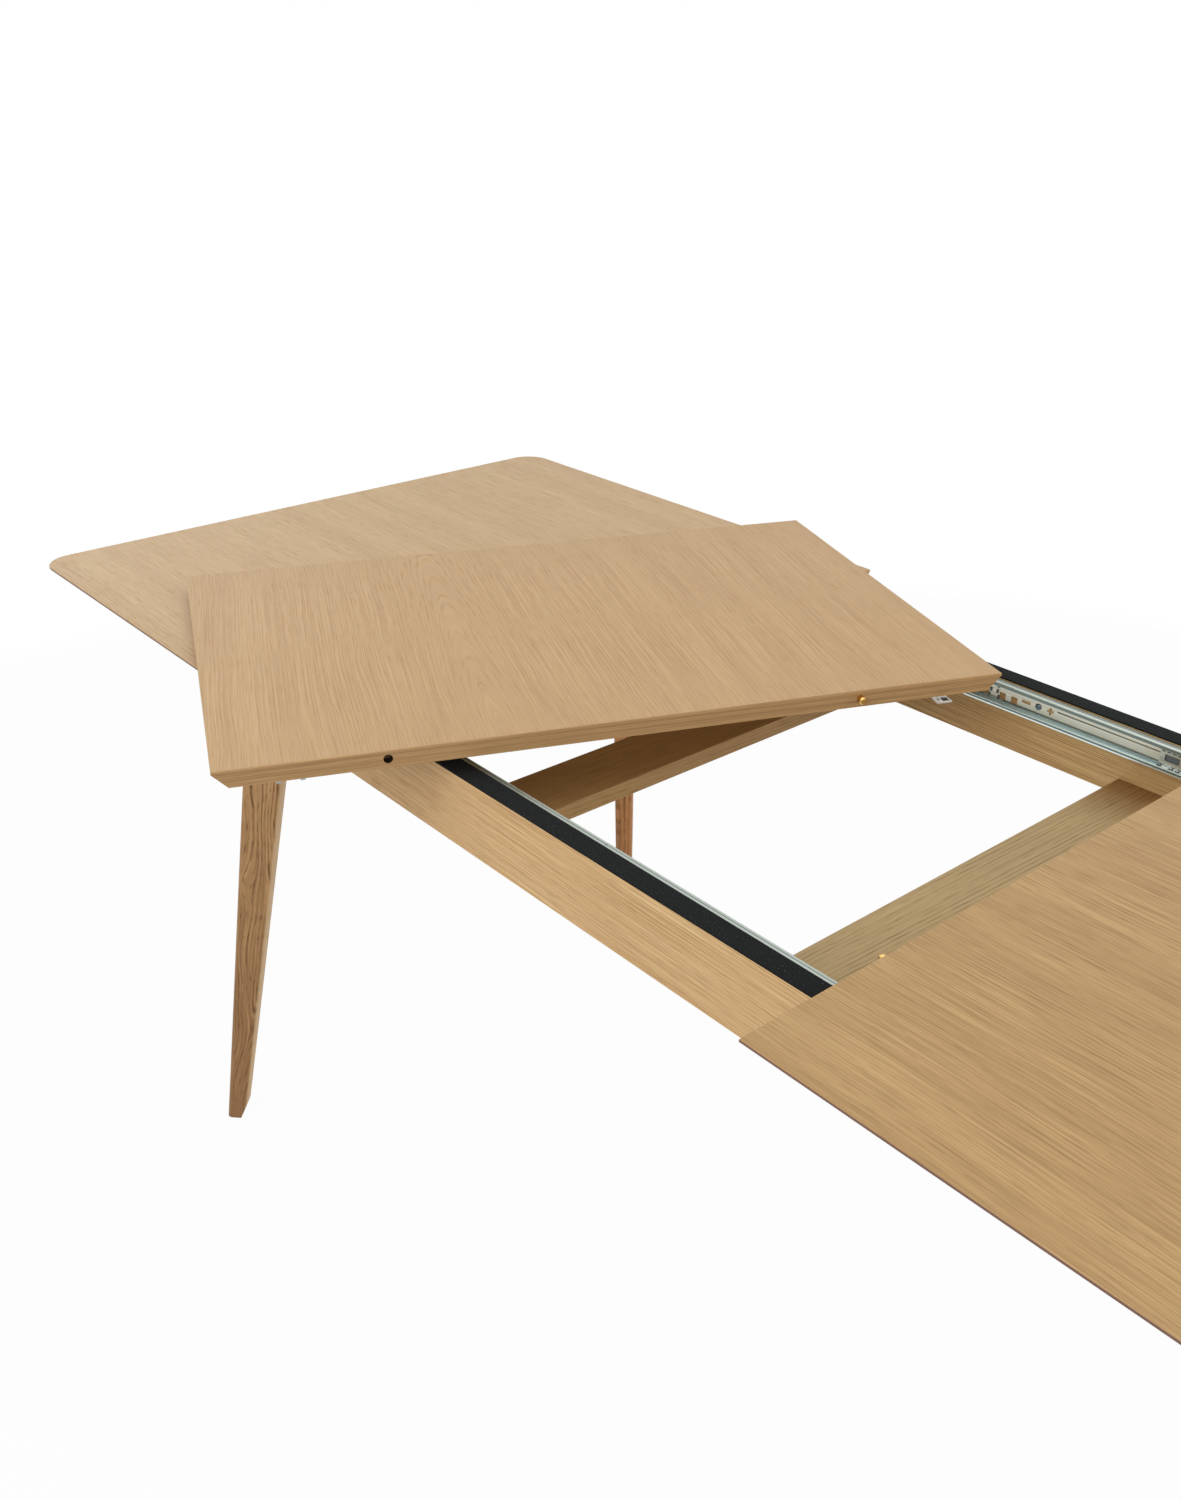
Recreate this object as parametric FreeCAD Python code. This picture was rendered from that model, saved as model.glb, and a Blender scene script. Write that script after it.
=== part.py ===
import FreeCAD, Part
import math
import os

# Extending dining table, opened: two half tops pulled apart along X on a fixed rail frame with
# four splayed legs, and the loose extension leaf laid askew on the far half.
# X runs along the table towards the near end, Y across it to the right side, Z up from the floor.

# Tops and leaf
HEIGHT = 745.0            # floor to the face of the tops
TOP_LENGTH = 700.0        # one half top, split edge to outer end
TOP_WIDTH = 800.0
TOP_THICK = 18.0
OPEN_GAP = 560.0          # between the split edges when pulled out
CLOSED_GAP = 1.0          # left between the split edges when pushed together
CORNER_RADIUS = 36.0      # plan radius of the outer corners
LIP = 3.0                 # upright band under the face
BEVEL = 14.5              # how far the undercut runs in below the lip
ARRIS = 0.8               # softened upper edges
LEAF_LENGTH = 528.0       # leaf size along the table when it is in the gap
LEAF_X = -353.6           # where the leaf lies, from the middle of the frame
LEAF_Y = -43.5
LEAF_TURN = -23.6         # degrees about Z
LEAF_REST = 0.3           # between the leaf's clips and the top that carries it

# Aligning pins in the split edges
PIN_OFFSET = 240.0        # from the long centre line
PIN_DIAMETER = 8.0
PIN_OUT = 8.0             # proud of the edge
PIN_IN = 24.0             # set into the edge
PIN_FIT = 0.1             # radial room of a pin in its own bore
PIN_CLEARANCE = 0.5       # radial room in the bore that a pin enters
PIN_BORE_SPARE = 2.0      # extra depth of that bore
PIN_TIP = 2.0             # length of the tapered tip

# Clips under the split edges: a flat tongue that enters a forked catch under the facing edge
CLIP_OFFSET = 330.0       # from the long centre line
CLIP_WIDTH = 16.0
CLIP_THICK = 2.0
CLIP_REACH = 12.0         # proud of the edge
CLIP_SEAT = 24.0          # under the board
CLIP_STEP = 0.4           # tongue's drop, so that it passes under the facing board
CLIP_RIM = 1.8            # left round the pressed pocket
CLIP_POCKET = 0.9         # depth of the pressed pocket and dimple
CLIP_DIMPLE = 3.4         # diameter of the round dimple beside the pocket
CATCH_ROOM = 0.8          # round the tongue
CATCH_ARM = 4.5           # width of the fork's arms and back

# Frame
FRAME_LENGTH = 1282.0     # over the outer faces of the end rails
FRAME_WIDTH = 613.0       # over the outer faces of the side rails
RAIL_THICK = 22.0
RAIL_HEIGHT = 78.0
FELT_THICK = 2.0
FELT_INSET = 0.2          # from the rail's faces
FELT_END = 6.0            # from the rail's short ends
GLIDE_GAP = 0.2           # between felt and tops
PLANK_WIDTH = 75.0
PLANK_THICK = 18.0
PLANK_OFFSET = 199.0      # centre of a plank from the middle of the frame

# Legs: blades that stand in the mitred corners, leaning out along the diagonal
LEG_WIDTH_TOP = 55.0      # along the diagonal, at the rail's lower edge
LEG_WIDTH_FOOT = 26.0
LEG_THICK_TOP = 34.0      # across the diagonal, at the rail's upper edge
LEG_THICK_FOOT = 23.0
LEG_ROUND = 7.5
LEG_SET_BACK = 38.4       # axis inside the frame's corner, at the rail's lower edge
LEG_REACH = 72.8          # axis outside that corner, at the foot
FOOT_CUT_HEIGHT = 26.0    # slanted cut on the inner side of the foot
FOOT_CUT_DEPTH = 6.0
PAD_SIZE = 14.0           # square floor pad
PAD_THICK = 2.0

# Corner blocks and leg bolts
BLOCK_THICK = 30.0
BLOCK_DROP = 4.0          # below the slides
BOLT_DIAMETER = 8.0
BOLT_HOLE_ROOM = 0.3      # radial
BOLT_GRIP = 30.0          # into the leg
BOLT_HEAD_ACROSS = 13.0
BOLT_HEAD_HEIGHT = 5.5
WASHER_DIAMETER = 20.0
WASHER_THICK = 1.6

# Three-part ball slides on the inner faces of the side rails
SLIDE_HEIGHT = 30.0
SLIDE_DROP = 0.5          # below the rail's upper edge
SHEET = 1.2
BEND = 1.6                # outer radius of a folded corner
OUTER_DEPTH = 9.5
OUTER_LIP = 5.0
OUTER_LENGTH = 370.0
OUTER_START = 2.0         # from the middle of the frame
BALL_RACE = 3.0           # height of a ball track
RUN = 0.3                 # running clearance
MID_BACK = 3.0            # depth of the middle member's web behind
MID_DEPTH = 8.0
MID_LENGTH = 220.0
MID_CLOSED = 62.0         # inner end of the middle member with the tops pushed together
INNER_FRONT = 10.8
INNER_CLOSED = 20.0
END_CLEARANCE = 7.0       # between an open slide and the leg
CAGE_SHEET = 0.8
OUTER_CAGE_LENGTH = 130.0
OUTER_CAGE_REACH = 7.0    # depth of the outer cage's arms
INNER_CAGE_LENGTH = 120.0
INNER_CAGE_REACH = 7.6
CAGE_END = 6.0            # cage set in from the middle member's end

# Stamped openings in the slides
HOLE_FIRST = 9.0          # first opening from the outer member's end
HOLE_PITCH = 15.2
HOLE_SQUARE = 8.0
HOLE_SQUARE_DROP = 3.3    # below the middle of the web
HOLE_SLOT = 11.0
HOLE_SLOT_HEIGHT = 3.2
HOLE_SCREW = 4.5
CROSS_SPAN = 8.0
CROSS_BAR = 2.6
WINDOW_LENGTH = 16.0
WINDOW_HEIGHT = 7.0
WINDOW_END = 5.5

# Brackets between the inner slide members and the tops
BRACKET_SHEET = 2.0
BRACKET_FLANGE = 28.0
BRACKET_END = 30.0        # set in from the ends of the inner member

# Levels and places that follow
UNDER = HEIGHT - TOP_THICK
FELT_TOP = UNDER - GLIDE_GAP
RAIL_TOP = FELT_TOP - FELT_THICK
RAIL_BOTTOM = RAIL_TOP - RAIL_HEIGHT
SLIDE_Z = RAIL_TOP - SLIDE_DROP - SLIDE_HEIGHT / 2
RAIL_INNER = FRAME_WIDTH / 2 - RAIL_THICK
TRAVEL = (OPEN_GAP - CLOSED_GAP) / 2
MIDDLE_Y = -LEAF_Y        # the leaf reaches furthest, so its centre is the part's centre line
DIAGONAL = math.sqrt(0.5)


def vec(x, y, z):
    return FreeCAD.Vector(x, y, z)


def save(name, shape):
    """Write one piece, with the part's centre line on Y = 0."""
    piece = shape.copy()
    piece.translate(vec(0, MIDDLE_Y, 0))
    piece.exportStep("parts/" + name + ".step")


def block(x0, x1, y0, y1, z0, z1):
    return Part.makeBox(x1 - x0, y1 - y0, z1 - z0, vec(x0, y0, z0))


def rounded_wire(points, radii):
    """Closed wire through the points, each corner rounded by its own radius, 0 for a sharp one."""
    starts, ends, edges = [], [], []
    for i, (corner, radius) in enumerate(zip(points, radii)):
        back = (points[i - 1] - corner).normalize()
        ahead = (points[(i + 1) % len(points)] - corner).normalize()
        half = back.getAngle(ahead) / 2
        reach = radius / math.tan(half)
        starts.append(corner + back * reach)
        ends.append(corner + ahead * reach)
        if radius > 0:
            bisector = (back + ahead).normalize()
            crown = corner + bisector * (radius / math.sin(half) - radius)
            edges.append(Part.Arc(starts[i], crown, ends[i]).toShape())
        else:
            edges.append(None)
    path = []
    for i, arc in enumerate(edges):
        if arc is not None:
            path.append(arc)
        following = starts[(i + 1) % len(points)]
        path.append(Part.LineSegment(ends[i], following).toShape())
    return Part.Wire(path)


def rectangle(x0, x1, y0, y1, z, radii):
    corners = [vec(x0, y0, z), vec(x1, y0, z), vec(x1, y1, z), vec(x0, y1, z)]
    return rounded_wire(corners, radii)


def mirrored(shape, end, side):
    """Copy of a piece of the near right quarter for the given end and side of the table."""
    if end == "far":
        shape = shape.mirror(vec(0, 0, 0), vec(1, 0, 0))
    if side == "left":
        shape = shape.mirror(vec(0, 0, 0), vec(0, 1, 0))
    return shape


def panel(x0, x1, radius, end_bevel):
    """Board with a thin upright lip and an undercut below it along both sides, and at x1 if asked."""
    half = TOP_WIDTH / 2
    low_radius = max(radius - BEVEL, 0)
    face = rectangle(x0, x1, -half, half, TOP_THICK, [0, radius, radius, 0])
    lip = rectangle(x0, x1, -half, half, TOP_THICK - LIP, [0, radius, radius, 0])
    foot_end = x1 - end_bevel
    foot = rectangle(x0, foot_end, BEVEL - half, half - BEVEL, 0, [0, low_radius, low_radius, 0])
    upper = Part.makeLoft([lip, face], True, True)
    lower = Part.makeLoft([foot, lip], True, True)
    board = upper.fuse(lower).removeSplitter()
    rim = [e for e in board.Edges if all(v.Z > TOP_THICK - ARRIS for v in e.Vertexes)]
    return board.makeChamfer(ARRIS, rim)


def edge_bore(x, y, direction, radius, depth):
    """Cylinder from an upright edge at x into the board, at mid thickness."""
    return Part.makeCylinder(radius, depth, vec(x, y, TOP_THICK / 2), vec(direction, 0, 0))


def pin_bores(x, direction, pin_y):
    """Bores of one split edge: the pin's own, and the one that the facing pin enters."""
    seat = edge_bore(x, pin_y, direction, PIN_DIAMETER / 2 + PIN_FIT, PIN_IN)
    entry_radius = PIN_DIAMETER / 2 + PIN_CLEARANCE
    entry = edge_bore(x, -pin_y, direction, entry_radius, PIN_OUT + PIN_BORE_SPARE)
    return seat.fuse(entry)


def pin(x, direction, pin_y):
    """Turned pin whose tapered tip stands out of the edge at x, against the bore's direction."""
    radius = PIN_DIAMETER / 2
    base = vec(x + direction * PIN_IN, pin_y, TOP_THICK / 2)
    out = vec(-direction, 0, 0)
    straight = PIN_IN + PIN_OUT - PIN_TIP
    shank = Part.makeCylinder(radius, straight, base, out)
    tip = Part.makeCone(radius, radius - PIN_TIP / 2, PIN_TIP, base + out * straight, out)
    return shank.fuse(tip).removeSplitter()


def under_edge(x, direction, start, stop, y, half_width, low, high):
    """Block under a board: start and stop are how far in from its edge at x, negative for proud."""
    ends = sorted((x + direction * start, x + direction * stop))
    return block(*ends, y - half_width, y + half_width, low, high)


def clip(x, direction, y):
    """Stepped tongue with a pressed pocket and a dimple beside it, screwed under the edge at x."""
    half = CLIP_WIDTH / 2
    seat = under_edge(x, direction, 0, CLIP_SEAT, y, half, -CLIP_THICK, 0)
    tongue = under_edge(x, direction, -CLIP_REACH, 0, y, half, -CLIP_THICK, -CLIP_STEP)
    floor = -CLIP_STEP - CLIP_POCKET
    dimple_y = y + direction * (half - CLIP_RIM - CLIP_DIMPLE / 2)
    pocket_half = half - 1.5 * CLIP_RIM - CLIP_DIMPLE / 2
    pocket_y = y - direction * (half - CLIP_RIM - pocket_half)
    pocket = under_edge(
        x, direction, CLIP_RIM - CLIP_REACH, -CLIP_RIM, pocket_y, pocket_half, floor, -CLIP_STEP
    )
    centre = vec(x - direction * CLIP_REACH / 2, dimple_y, floor)
    dimple = Part.makeCylinder(CLIP_DIMPLE / 2, CLIP_POCKET, centre)
    return seat.fuse(tongue).removeSplitter().cut(pocket).cut(dimple)


def catch(x, direction, y):
    """Fork whose arms guide the facing tongue."""
    room = CLIP_WIDTH / 2 + CATCH_ROOM
    depth = CLIP_REACH + CATCH_ROOM
    plate = under_edge(
        x, direction, CATCH_ROOM, depth + CATCH_ARM, y, room + CATCH_ARM, -CLIP_THICK, 0
    )
    return plate.cut(under_edge(x, direction, 0, depth, y, room, -CLIP_THICK, 0))


def build_tops():
    """Near half top with its pin and clips; the far half is the same one turned half round."""
    split = OPEN_GAP / 2
    board = panel(split, split + TOP_LENGTH, CORNER_RADIUS, BEVEL)
    board = board.cut(pin_bores(split, 1, -PIN_OFFSET))
    pieces = {
        "top_board": board,
        "top_pin": pin(split, 1, -PIN_OFFSET),
        "top_clips": Part.Compound([clip(split, 1, -CLIP_OFFSET), catch(split, 1, CLIP_OFFSET)]),
    }
    for end, turn in (("near", 0), ("far", 180)):
        for name, shape in pieces.items():
            piece = shape.copy()
            piece.rotate(vec(0, 0, 0), vec(0, 0, 1), turn)
            piece.translate(vec(0, 0, UNDER))
            save(end + "_" + name, piece)


def build_leaf():
    """Leaf with its pins, clips and catches, laid askew on the far top."""
    half = LEAF_LENGTH / 2
    board = panel(-half, half, 0, 0)
    board = board.cut(pin_bores(half, -1, PIN_OFFSET)).cut(pin_bores(-half, 1, -PIN_OFFSET))
    pieces = {
        "leaf_board": board,
        "leaf_front_pin": pin(half, -1, PIN_OFFSET),
        "leaf_back_pin": pin(-half, 1, -PIN_OFFSET),
        "leaf_clips": Part.Compound([clip(half, -1, CLIP_OFFSET), clip(-half, 1, -CLIP_OFFSET)]),
        "leaf_catches": Part.Compound([catch(half, -1, -CLIP_OFFSET), catch(-half, 1, CLIP_OFFSET)]),
    }
    for name, piece in pieces.items():
        piece.rotate(vec(0, 0, 0), vec(0, 0, 1), LEAF_TURN)
        piece.translate(vec(LEAF_X, LEAF_Y, HEIGHT + LEAF_REST + CLIP_THICK))
        save(name, piece)


def leg_at(z):
    """Inner and outer edge of the leg along the diagonal, from the frame's corner, at a height."""
    down = (RAIL_BOTTOM - z) / (RAIL_BOTTOM - PAD_THICK)
    axis = -LEG_SET_BACK + (LEG_SET_BACK + LEG_REACH) * down
    width = LEG_WIDTH_TOP + (LEG_WIDTH_FOOT - LEG_WIDTH_TOP) * down
    return axis - width / 2, axis + width / 2


def leg_thick(z):
    """Thickness of the leg across the diagonal at a height."""
    share = (z - PAD_THICK) / (RAIL_TOP - PAD_THICK)
    return LEG_THICK_FOOT + (LEG_THICK_TOP - LEG_THICK_FOOT) * share


def to_corner(shape):
    """Turn a piece drawn along the diagonal into the near right corner of the frame."""
    shape.rotate(vec(0, 0, 0), vec(0, 0, 1), 45)
    shape.translate(vec(FRAME_LENGTH / 2, FRAME_WIDTH / 2, 0))
    return shape


def mitre_waste(side):
    """What is sawn off a rail's end to meet the leg's face: 1 for a side rail, -1 for an end rail."""
    reach = FRAME_WIDTH
    low, high = leg_thick(RAIL_BOTTOM) / 2, leg_thick(RAIL_TOP) / 2
    profile = [(-reach, RAIL_BOTTOM), (low, RAIL_BOTTOM), (high, RAIL_TOP), (-reach, RAIL_TOP)]
    wire = Part.makePolygon([vec(-reach, side * b, z) for b, z in profile + profile[:1]])
    return to_corner(Part.Face(wire).extrude(vec(2 * reach, 0, 0)))


def build_rails():
    """Ring of rails whose ends are mitred to the sides of the legs, with felt and cross planks."""
    x_outer, y_outer = FRAME_LENGTH / 2, FRAME_WIDTH / 2
    waste = mitre_waste(1)
    side_rail = block(-x_outer, x_outer, RAIL_INNER, y_outer, RAIL_BOTTOM, RAIL_TOP)
    side_rail = side_rail.cut(waste).cut(mirrored(waste, "far", "right"))
    waste = mitre_waste(-1)
    end_rail = block(x_outer - RAIL_THICK, x_outer, -y_outer, y_outer, RAIL_BOTTOM, RAIL_TOP)
    end_rail = end_rail.cut(waste).cut(mirrored(waste, "near", "left"))
    x_short = x_outer - RAIL_THICK - LEG_THICK_TOP * DIAGONAL
    felt_reach = x_short - FELT_END
    felt = block(
        -felt_reach, felt_reach, RAIL_INNER + FELT_INSET, y_outer - FELT_INSET, RAIL_TOP, FELT_TOP
    )
    plank = block(
        PLANK_OFFSET - PLANK_WIDTH / 2,
        PLANK_OFFSET + PLANK_WIDTH / 2,
        -RAIL_INNER,
        RAIL_INNER,
        RAIL_BOTTOM,
        RAIL_BOTTOM + PLANK_THICK,
    )
    for side in ("left", "right"):
        save(side + "_side_rail", mirrored(side_rail, "near", side))
        save(side + "_felt_strip", mirrored(felt, "near", side))
    for end in ("far", "near"):
        save(end + "_end_rail", mirrored(end_rail, end, "right"))
        save(end + "_cross_plank", mirrored(plank, end, "right"))


def leg_corners(z):
    inner, outer = leg_at(z)
    half = leg_thick(z) / 2
    return [vec(inner, -half, z), vec(outer, -half, z), vec(outer, half, z), vec(inner, half, z)]


def tapered(low, high):
    """Solid with flat sides between two four-cornered outlines."""
    sides = [[low[i - 1], low[i], high[i], high[i - 1]] for i in range(4)]
    outlines = sides + [low[::-1], high]
    faces = [Part.Face(Part.makePolygon(corners + corners[:1])) for corners in outlines]
    return Part.makeSolid(Part.makeShell(faces))


def slanted(points, half_width):
    """Prism of a profile in the upright plane through the diagonal."""
    wire = Part.makePolygon([vec(a, -half_width, z) for a, z in points + points[:1]])
    return Part.Face(wire).extrude(vec(0, 2 * half_width, 0))


def hex_bolt(seat, z, length):
    """Hexagon bolt with its washer, pointing outwards along the diagonal from the seat."""
    out = vec(1, 0, 0)
    shank = Part.makeCylinder(BOLT_DIAMETER / 2, length, vec(seat, 0, z), out)
    washer = Part.makeCylinder(WASHER_DIAMETER / 2, WASHER_THICK, vec(seat, 0, z), out * -1)
    reach = BOLT_HEAD_ACROSS / math.sqrt(3)
    head_at = seat - WASHER_THICK - BOLT_HEAD_HEIGHT
    angles = [math.radians(60 * i) for i in range(6)]
    corners = [vec(head_at, reach * math.cos(t), z + reach * math.sin(t)) for t in angles]
    hexagon = Part.Face(Part.makePolygon(corners + corners[:1]))
    return shank.fuse([washer, hexagon.extrude(out * BOLT_HEAD_HEIGHT)]).removeSplitter()


def build_corners():
    """Leg, corner block, leg bolt and floor pad of each corner."""
    top, joint, foot = RAIL_TOP, RAIL_BOTTOM, PAD_THICK
    leg = tapered(leg_corners(foot), leg_corners(top))
    long_edges = [e for e in leg.Edges if e.BoundBox.ZLength > top / 2]
    leg = leg.makeFillet(LEG_ROUND, long_edges)

    foot_inner, foot_outer = leg_at(foot)
    cut_inner = leg_at(foot + FOOT_CUT_HEIGHT)[0]
    toe = foot_inner + FOOT_CUT_DEPTH
    waste = cut_inner - LEG_WIDTH_FOOT
    cut = [(cut_inner, foot + FOOT_CUT_HEIGHT), (toe, foot), (waste, foot)]
    leg = leg.cut(slanted(cut, LEG_THICK_TOP))

    block_top = SLIDE_Z - SLIDE_HEIGHT / 2 - BLOCK_DROP
    low_face, high_face = leg_at(joint)[0], leg_at(block_top)[0]
    seat = high_face - BLOCK_THICK
    profile = [(low_face, joint), (high_face, block_top), (seat, block_top), (seat, joint)]
    brace = slanted(profile, FRAME_WIDTH / 2)

    bolt_z = (joint + block_top) / 2
    reach = leg_at(bolt_z)[0] + BOLT_GRIP - seat
    bore_radius = BOLT_DIAMETER / 2 + BOLT_HOLE_ROOM
    bore = Part.makeCylinder(bore_radius, reach, vec(seat, 0, bolt_z), vec(1, 0, 0))
    bolt = hex_bolt(seat, bolt_z, reach)
    pad_at, pad_half = (toe + foot_outer) / 2, PAD_SIZE / 2
    pad = block(pad_at - pad_half, pad_at + pad_half, -pad_half, pad_half, 0, PAD_THICK)

    inside = block(0, FRAME_LENGTH / 2 - RAIL_THICK, 0, RAIL_INNER, joint, block_top)
    pieces = {
        "leg": to_corner(leg.cut(bore)),
        "corner_block": to_corner(brace.cut(bore)).common(inside),
        "leg_bolt": to_corner(bolt),
        "floor_pad": to_corner(pad),
    }
    for end in ("far", "near"):
        for side in ("left", "right"):
            for name, piece in pieces.items():
                save("_".join((end, side, name)), mirrored(piece, end, side))


def along_slide(points, radii, x0, x1):
    """Profile given as depth from the rail and height from the slide's middle, drawn out along X."""
    corners = [vec(x0, RAIL_INNER - d, SLIDE_Z + h) for d, h in points]
    return Part.Face(rounded_wire(corners, radii)).extrude(vec(x1 - x0, 0, 0))


def channel(web, edge, half, lip):
    """Folded C profile with its web at one depth and its flanges reaching another, lips turned in."""
    step = math.copysign(SHEET, edge - web)
    fold, crease = BEND, BEND - SHEET
    lower = [(web, -half), (edge, -half)]
    radii = [fold, fold if lip else 0]
    if lip:
        lower += [(edge, lip - half), (edge - step, lip - half), (edge - step, SHEET - half)]
        radii += [0, 0, crease]
    else:
        lower += [(edge, SHEET - half)]
        radii += [0]
    lower += [(web + step, SHEET - half)]
    radii += [crease]
    upper = [(d, -h) for d, h in reversed(lower)]
    return lower + upper, radii + radii[::-1]


def cradle(back, front, inner, outer):
    """Ball cage: a thin web with two arms in the ball tracks, its back rounded to clear the folds."""
    web = back + CAGE_SHEET
    lower = [(back, -outer), (front, -outer), (front, -inner), (web, -inner)]
    radii = [BEND, 0, 0, 0]
    upper = [(d, -h) for d, h in reversed(lower)]
    return lower + upper, radii + radii[::-1]


def stamp(x, length, height, rise):
    """Cutter through a slide's web, centred at x."""
    z = SLIDE_Z + rise
    return block(
        x - length / 2,
        x + length / 2,
        RAIL_INNER - OUTER_DEPTH,
        RAIL_INNER,
        z - height / 2,
        z + height / 2,
    )


def slide_end_limit():
    """Furthest that an open slide may reach before the leg's upper inner corner."""
    inner = leg_at(RAIL_TOP)[0]
    return FRAME_LENGTH / 2 + (inner - LEG_THICK_TOP / 2) * DIAGONAL - END_CLEARANCE


def build_slides():
    """Outer, middle and inner member, two ball cages and a bracket for each slide, drawn open."""
    outer_half = SLIDE_HEIGHT / 2
    mid_half = outer_half - SHEET - BALL_RACE
    inner_half = mid_half - SHEET - BALL_RACE

    outer = along_slide(
        *channel(0, OUTER_DEPTH, outer_half, OUTER_LIP), OUTER_START, OUTER_START + OUTER_LENGTH
    )
    square_1, square_2, slot, screw, cross = (
        OUTER_START + HOLE_FIRST + i * HOLE_PITCH for i in range(5)
    )
    for x in (square_1, square_2):
        outer = outer.cut(stamp(x, HOLE_SQUARE, HOLE_SQUARE, -HOLE_SQUARE_DROP))
    outer = outer.cut(stamp(slot, HOLE_SLOT, HOLE_SLOT_HEIGHT, 0))
    outer = outer.cut(stamp(cross, CROSS_SPAN, CROSS_BAR, 0))
    outer = outer.cut(stamp(cross, CROSS_BAR, CROSS_SPAN, 0))
    for x in (screw, OUTER_START + OUTER_LENGTH - HOLE_FIRST):
        at = vec(x, RAIL_INNER, SLIDE_Z)
        outer = outer.cut(Part.makeCylinder(HOLE_SCREW / 2, SHEET, at, vec(0, -1, 0)))

    mid_x = MID_CLOSED + TRAVEL / 2
    mid_end = mid_x + MID_LENGTH
    middle = along_slide(*channel(MID_BACK, MID_DEPTH, mid_half, 0), mid_x, mid_end)
    window_x = mid_x + WINDOW_END + WINDOW_LENGTH / 2
    middle = middle.cut(stamp(window_x, WINDOW_LENGTH, WINDOW_HEIGHT, 0))

    cage_back = SHEET + RUN
    outer_cage = along_slide(
        *cradle(cage_back, OUTER_CAGE_REACH, mid_half, outer_half - SHEET - RUN),
        mid_x + CAGE_END,
        mid_x + CAGE_END + OUTER_CAGE_LENGTH,
    )
    mid_face = MID_BACK + SHEET
    inner_cage = along_slide(
        *cradle(mid_face, INNER_CAGE_REACH, inner_half + RUN, mid_half - SHEET),
        mid_end - CAGE_END - INNER_CAGE_LENGTH,
        mid_end - CAGE_END,
    )

    inner_x, inner_end = INNER_CLOSED + TRAVEL, slide_end_limit()
    inner_edge = mid_face + CAGE_SHEET + RUN
    inner = along_slide(*channel(INNER_FRONT, inner_edge, inner_half, 0), inner_x, inner_end)

    plate = INNER_FRONT + BRACKET_SHEET
    ceiling = UNDER - SLIDE_Z
    reach = INNER_FRONT + BRACKET_FLANGE
    angle = [
        (INNER_FRONT, -inner_half + BEND),
        (plate, -inner_half + BEND),
        (plate, ceiling - BRACKET_SHEET),
        (reach, ceiling - BRACKET_SHEET),
        (reach, ceiling),
        (INNER_FRONT, ceiling),
    ]
    bracket = along_slide(
        angle, [0, 0, BEND, 0, 0, BEND + BRACKET_SHEET], inner_x + BRACKET_END, inner_end - BRACKET_END
    )

    pieces = {
        "outer_slide": outer,
        "middle_slide": middle,
        "outer_ball_cage": outer_cage,
        "inner_ball_cage": inner_cage,
        "inner_slide": inner,
        "slide_bracket": bracket,
    }
    for end in ("far", "near"):
        for side in ("left", "right"):
            for name, piece in pieces.items():
                save("_".join((end, side, name)), mirrored(piece, end, side))


os.makedirs("parts", exist_ok=True)
build_tops()
build_leaf()
build_rails()
build_corners()
build_slides()
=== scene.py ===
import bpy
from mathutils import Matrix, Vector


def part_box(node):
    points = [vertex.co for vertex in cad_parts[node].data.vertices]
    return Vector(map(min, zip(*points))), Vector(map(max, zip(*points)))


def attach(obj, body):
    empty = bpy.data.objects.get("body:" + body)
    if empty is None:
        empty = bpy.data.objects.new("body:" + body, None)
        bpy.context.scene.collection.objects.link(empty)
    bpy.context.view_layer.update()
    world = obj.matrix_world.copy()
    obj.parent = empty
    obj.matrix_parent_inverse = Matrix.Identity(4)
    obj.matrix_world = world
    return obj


bl_info = {
    "name": "Extending Table Finish",
    "version": (1, 0, 0),
    "blender": (4, 5, 0),
    "location": "View3D > Sidebar > Table",
    "description": "Oak, felt and metal finishes, small hardware and a studio for the extending table",
    "category": "Object",
}

import math
from collections import namedtuple

import bpy
import numpy as np
from bpy.props import FloatProperty, FloatVectorProperty, IntProperty, PointerProperty

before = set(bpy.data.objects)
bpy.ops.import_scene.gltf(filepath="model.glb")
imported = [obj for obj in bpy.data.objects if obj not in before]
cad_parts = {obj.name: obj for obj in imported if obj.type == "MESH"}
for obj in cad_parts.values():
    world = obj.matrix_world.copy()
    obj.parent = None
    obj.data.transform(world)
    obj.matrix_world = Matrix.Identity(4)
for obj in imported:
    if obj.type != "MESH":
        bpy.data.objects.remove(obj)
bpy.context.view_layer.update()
ENDS = ("far", "near")
SIDES = ("left", "right")
X_AXIS = (1, 0, 0)
Z_AXIS = (0, 0, 1)
QUARTER = math.pi / 2

# Lengths of the solids that their boxes don't give
PIN_SPREAD = (0.512, 0.480)  # from the leaf's back pin to its front one, in its own X and Y
LEAF_HALF = 0.264  # half of the leaf along its own X
BRACKET_SHEET = 0.002
CLIP_POCKET = 0.0009  # depth of the pocket sunk in a clip
SLIDE_LIP = 0.005  # height of an outer slide's lips
SLIDE_CREASE = 0.6  # crease along its upper flange, as a share of the depth from the rail

# Details on an outer slide's web: distances from its inner end, then the height from its middle
BEADS_AT = ((0.078, 0.020, 0.0022), (0.010, 0.020, -0.0081))  # the second number is from the outer end
RIVET_AT = (0.0030, 0.0068)
STOPS_AT = ((0.0022, 0.0), (0.0040, -0.0062))
STOP_SIZE = (0.0011, 0.0022)  # half length and half height
STOP_RISE = 0.0016
SCREW_TURN = math.radians(25)
JOINT_INSET = 0.0004  # the short channels at the joints lie this far within the slides

# Details at the end of a middle member: distances from its inner end
NOSE_POCKETS = (0.002, 0.015, 0.022)
NOSE_STOP = 0.0085
NOSE_SLITS = (0.003, 0.009, 0.015, 0.021)
NOSE_INSET = 0.0019  # pockets behind the front edge of the lower flange
NOSE_DROP = 0.0042  # slits below the upper flange

CLIP_SCREWS = (0.3, 0.75)  # shares of a clip's seat, from the board's edge

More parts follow.
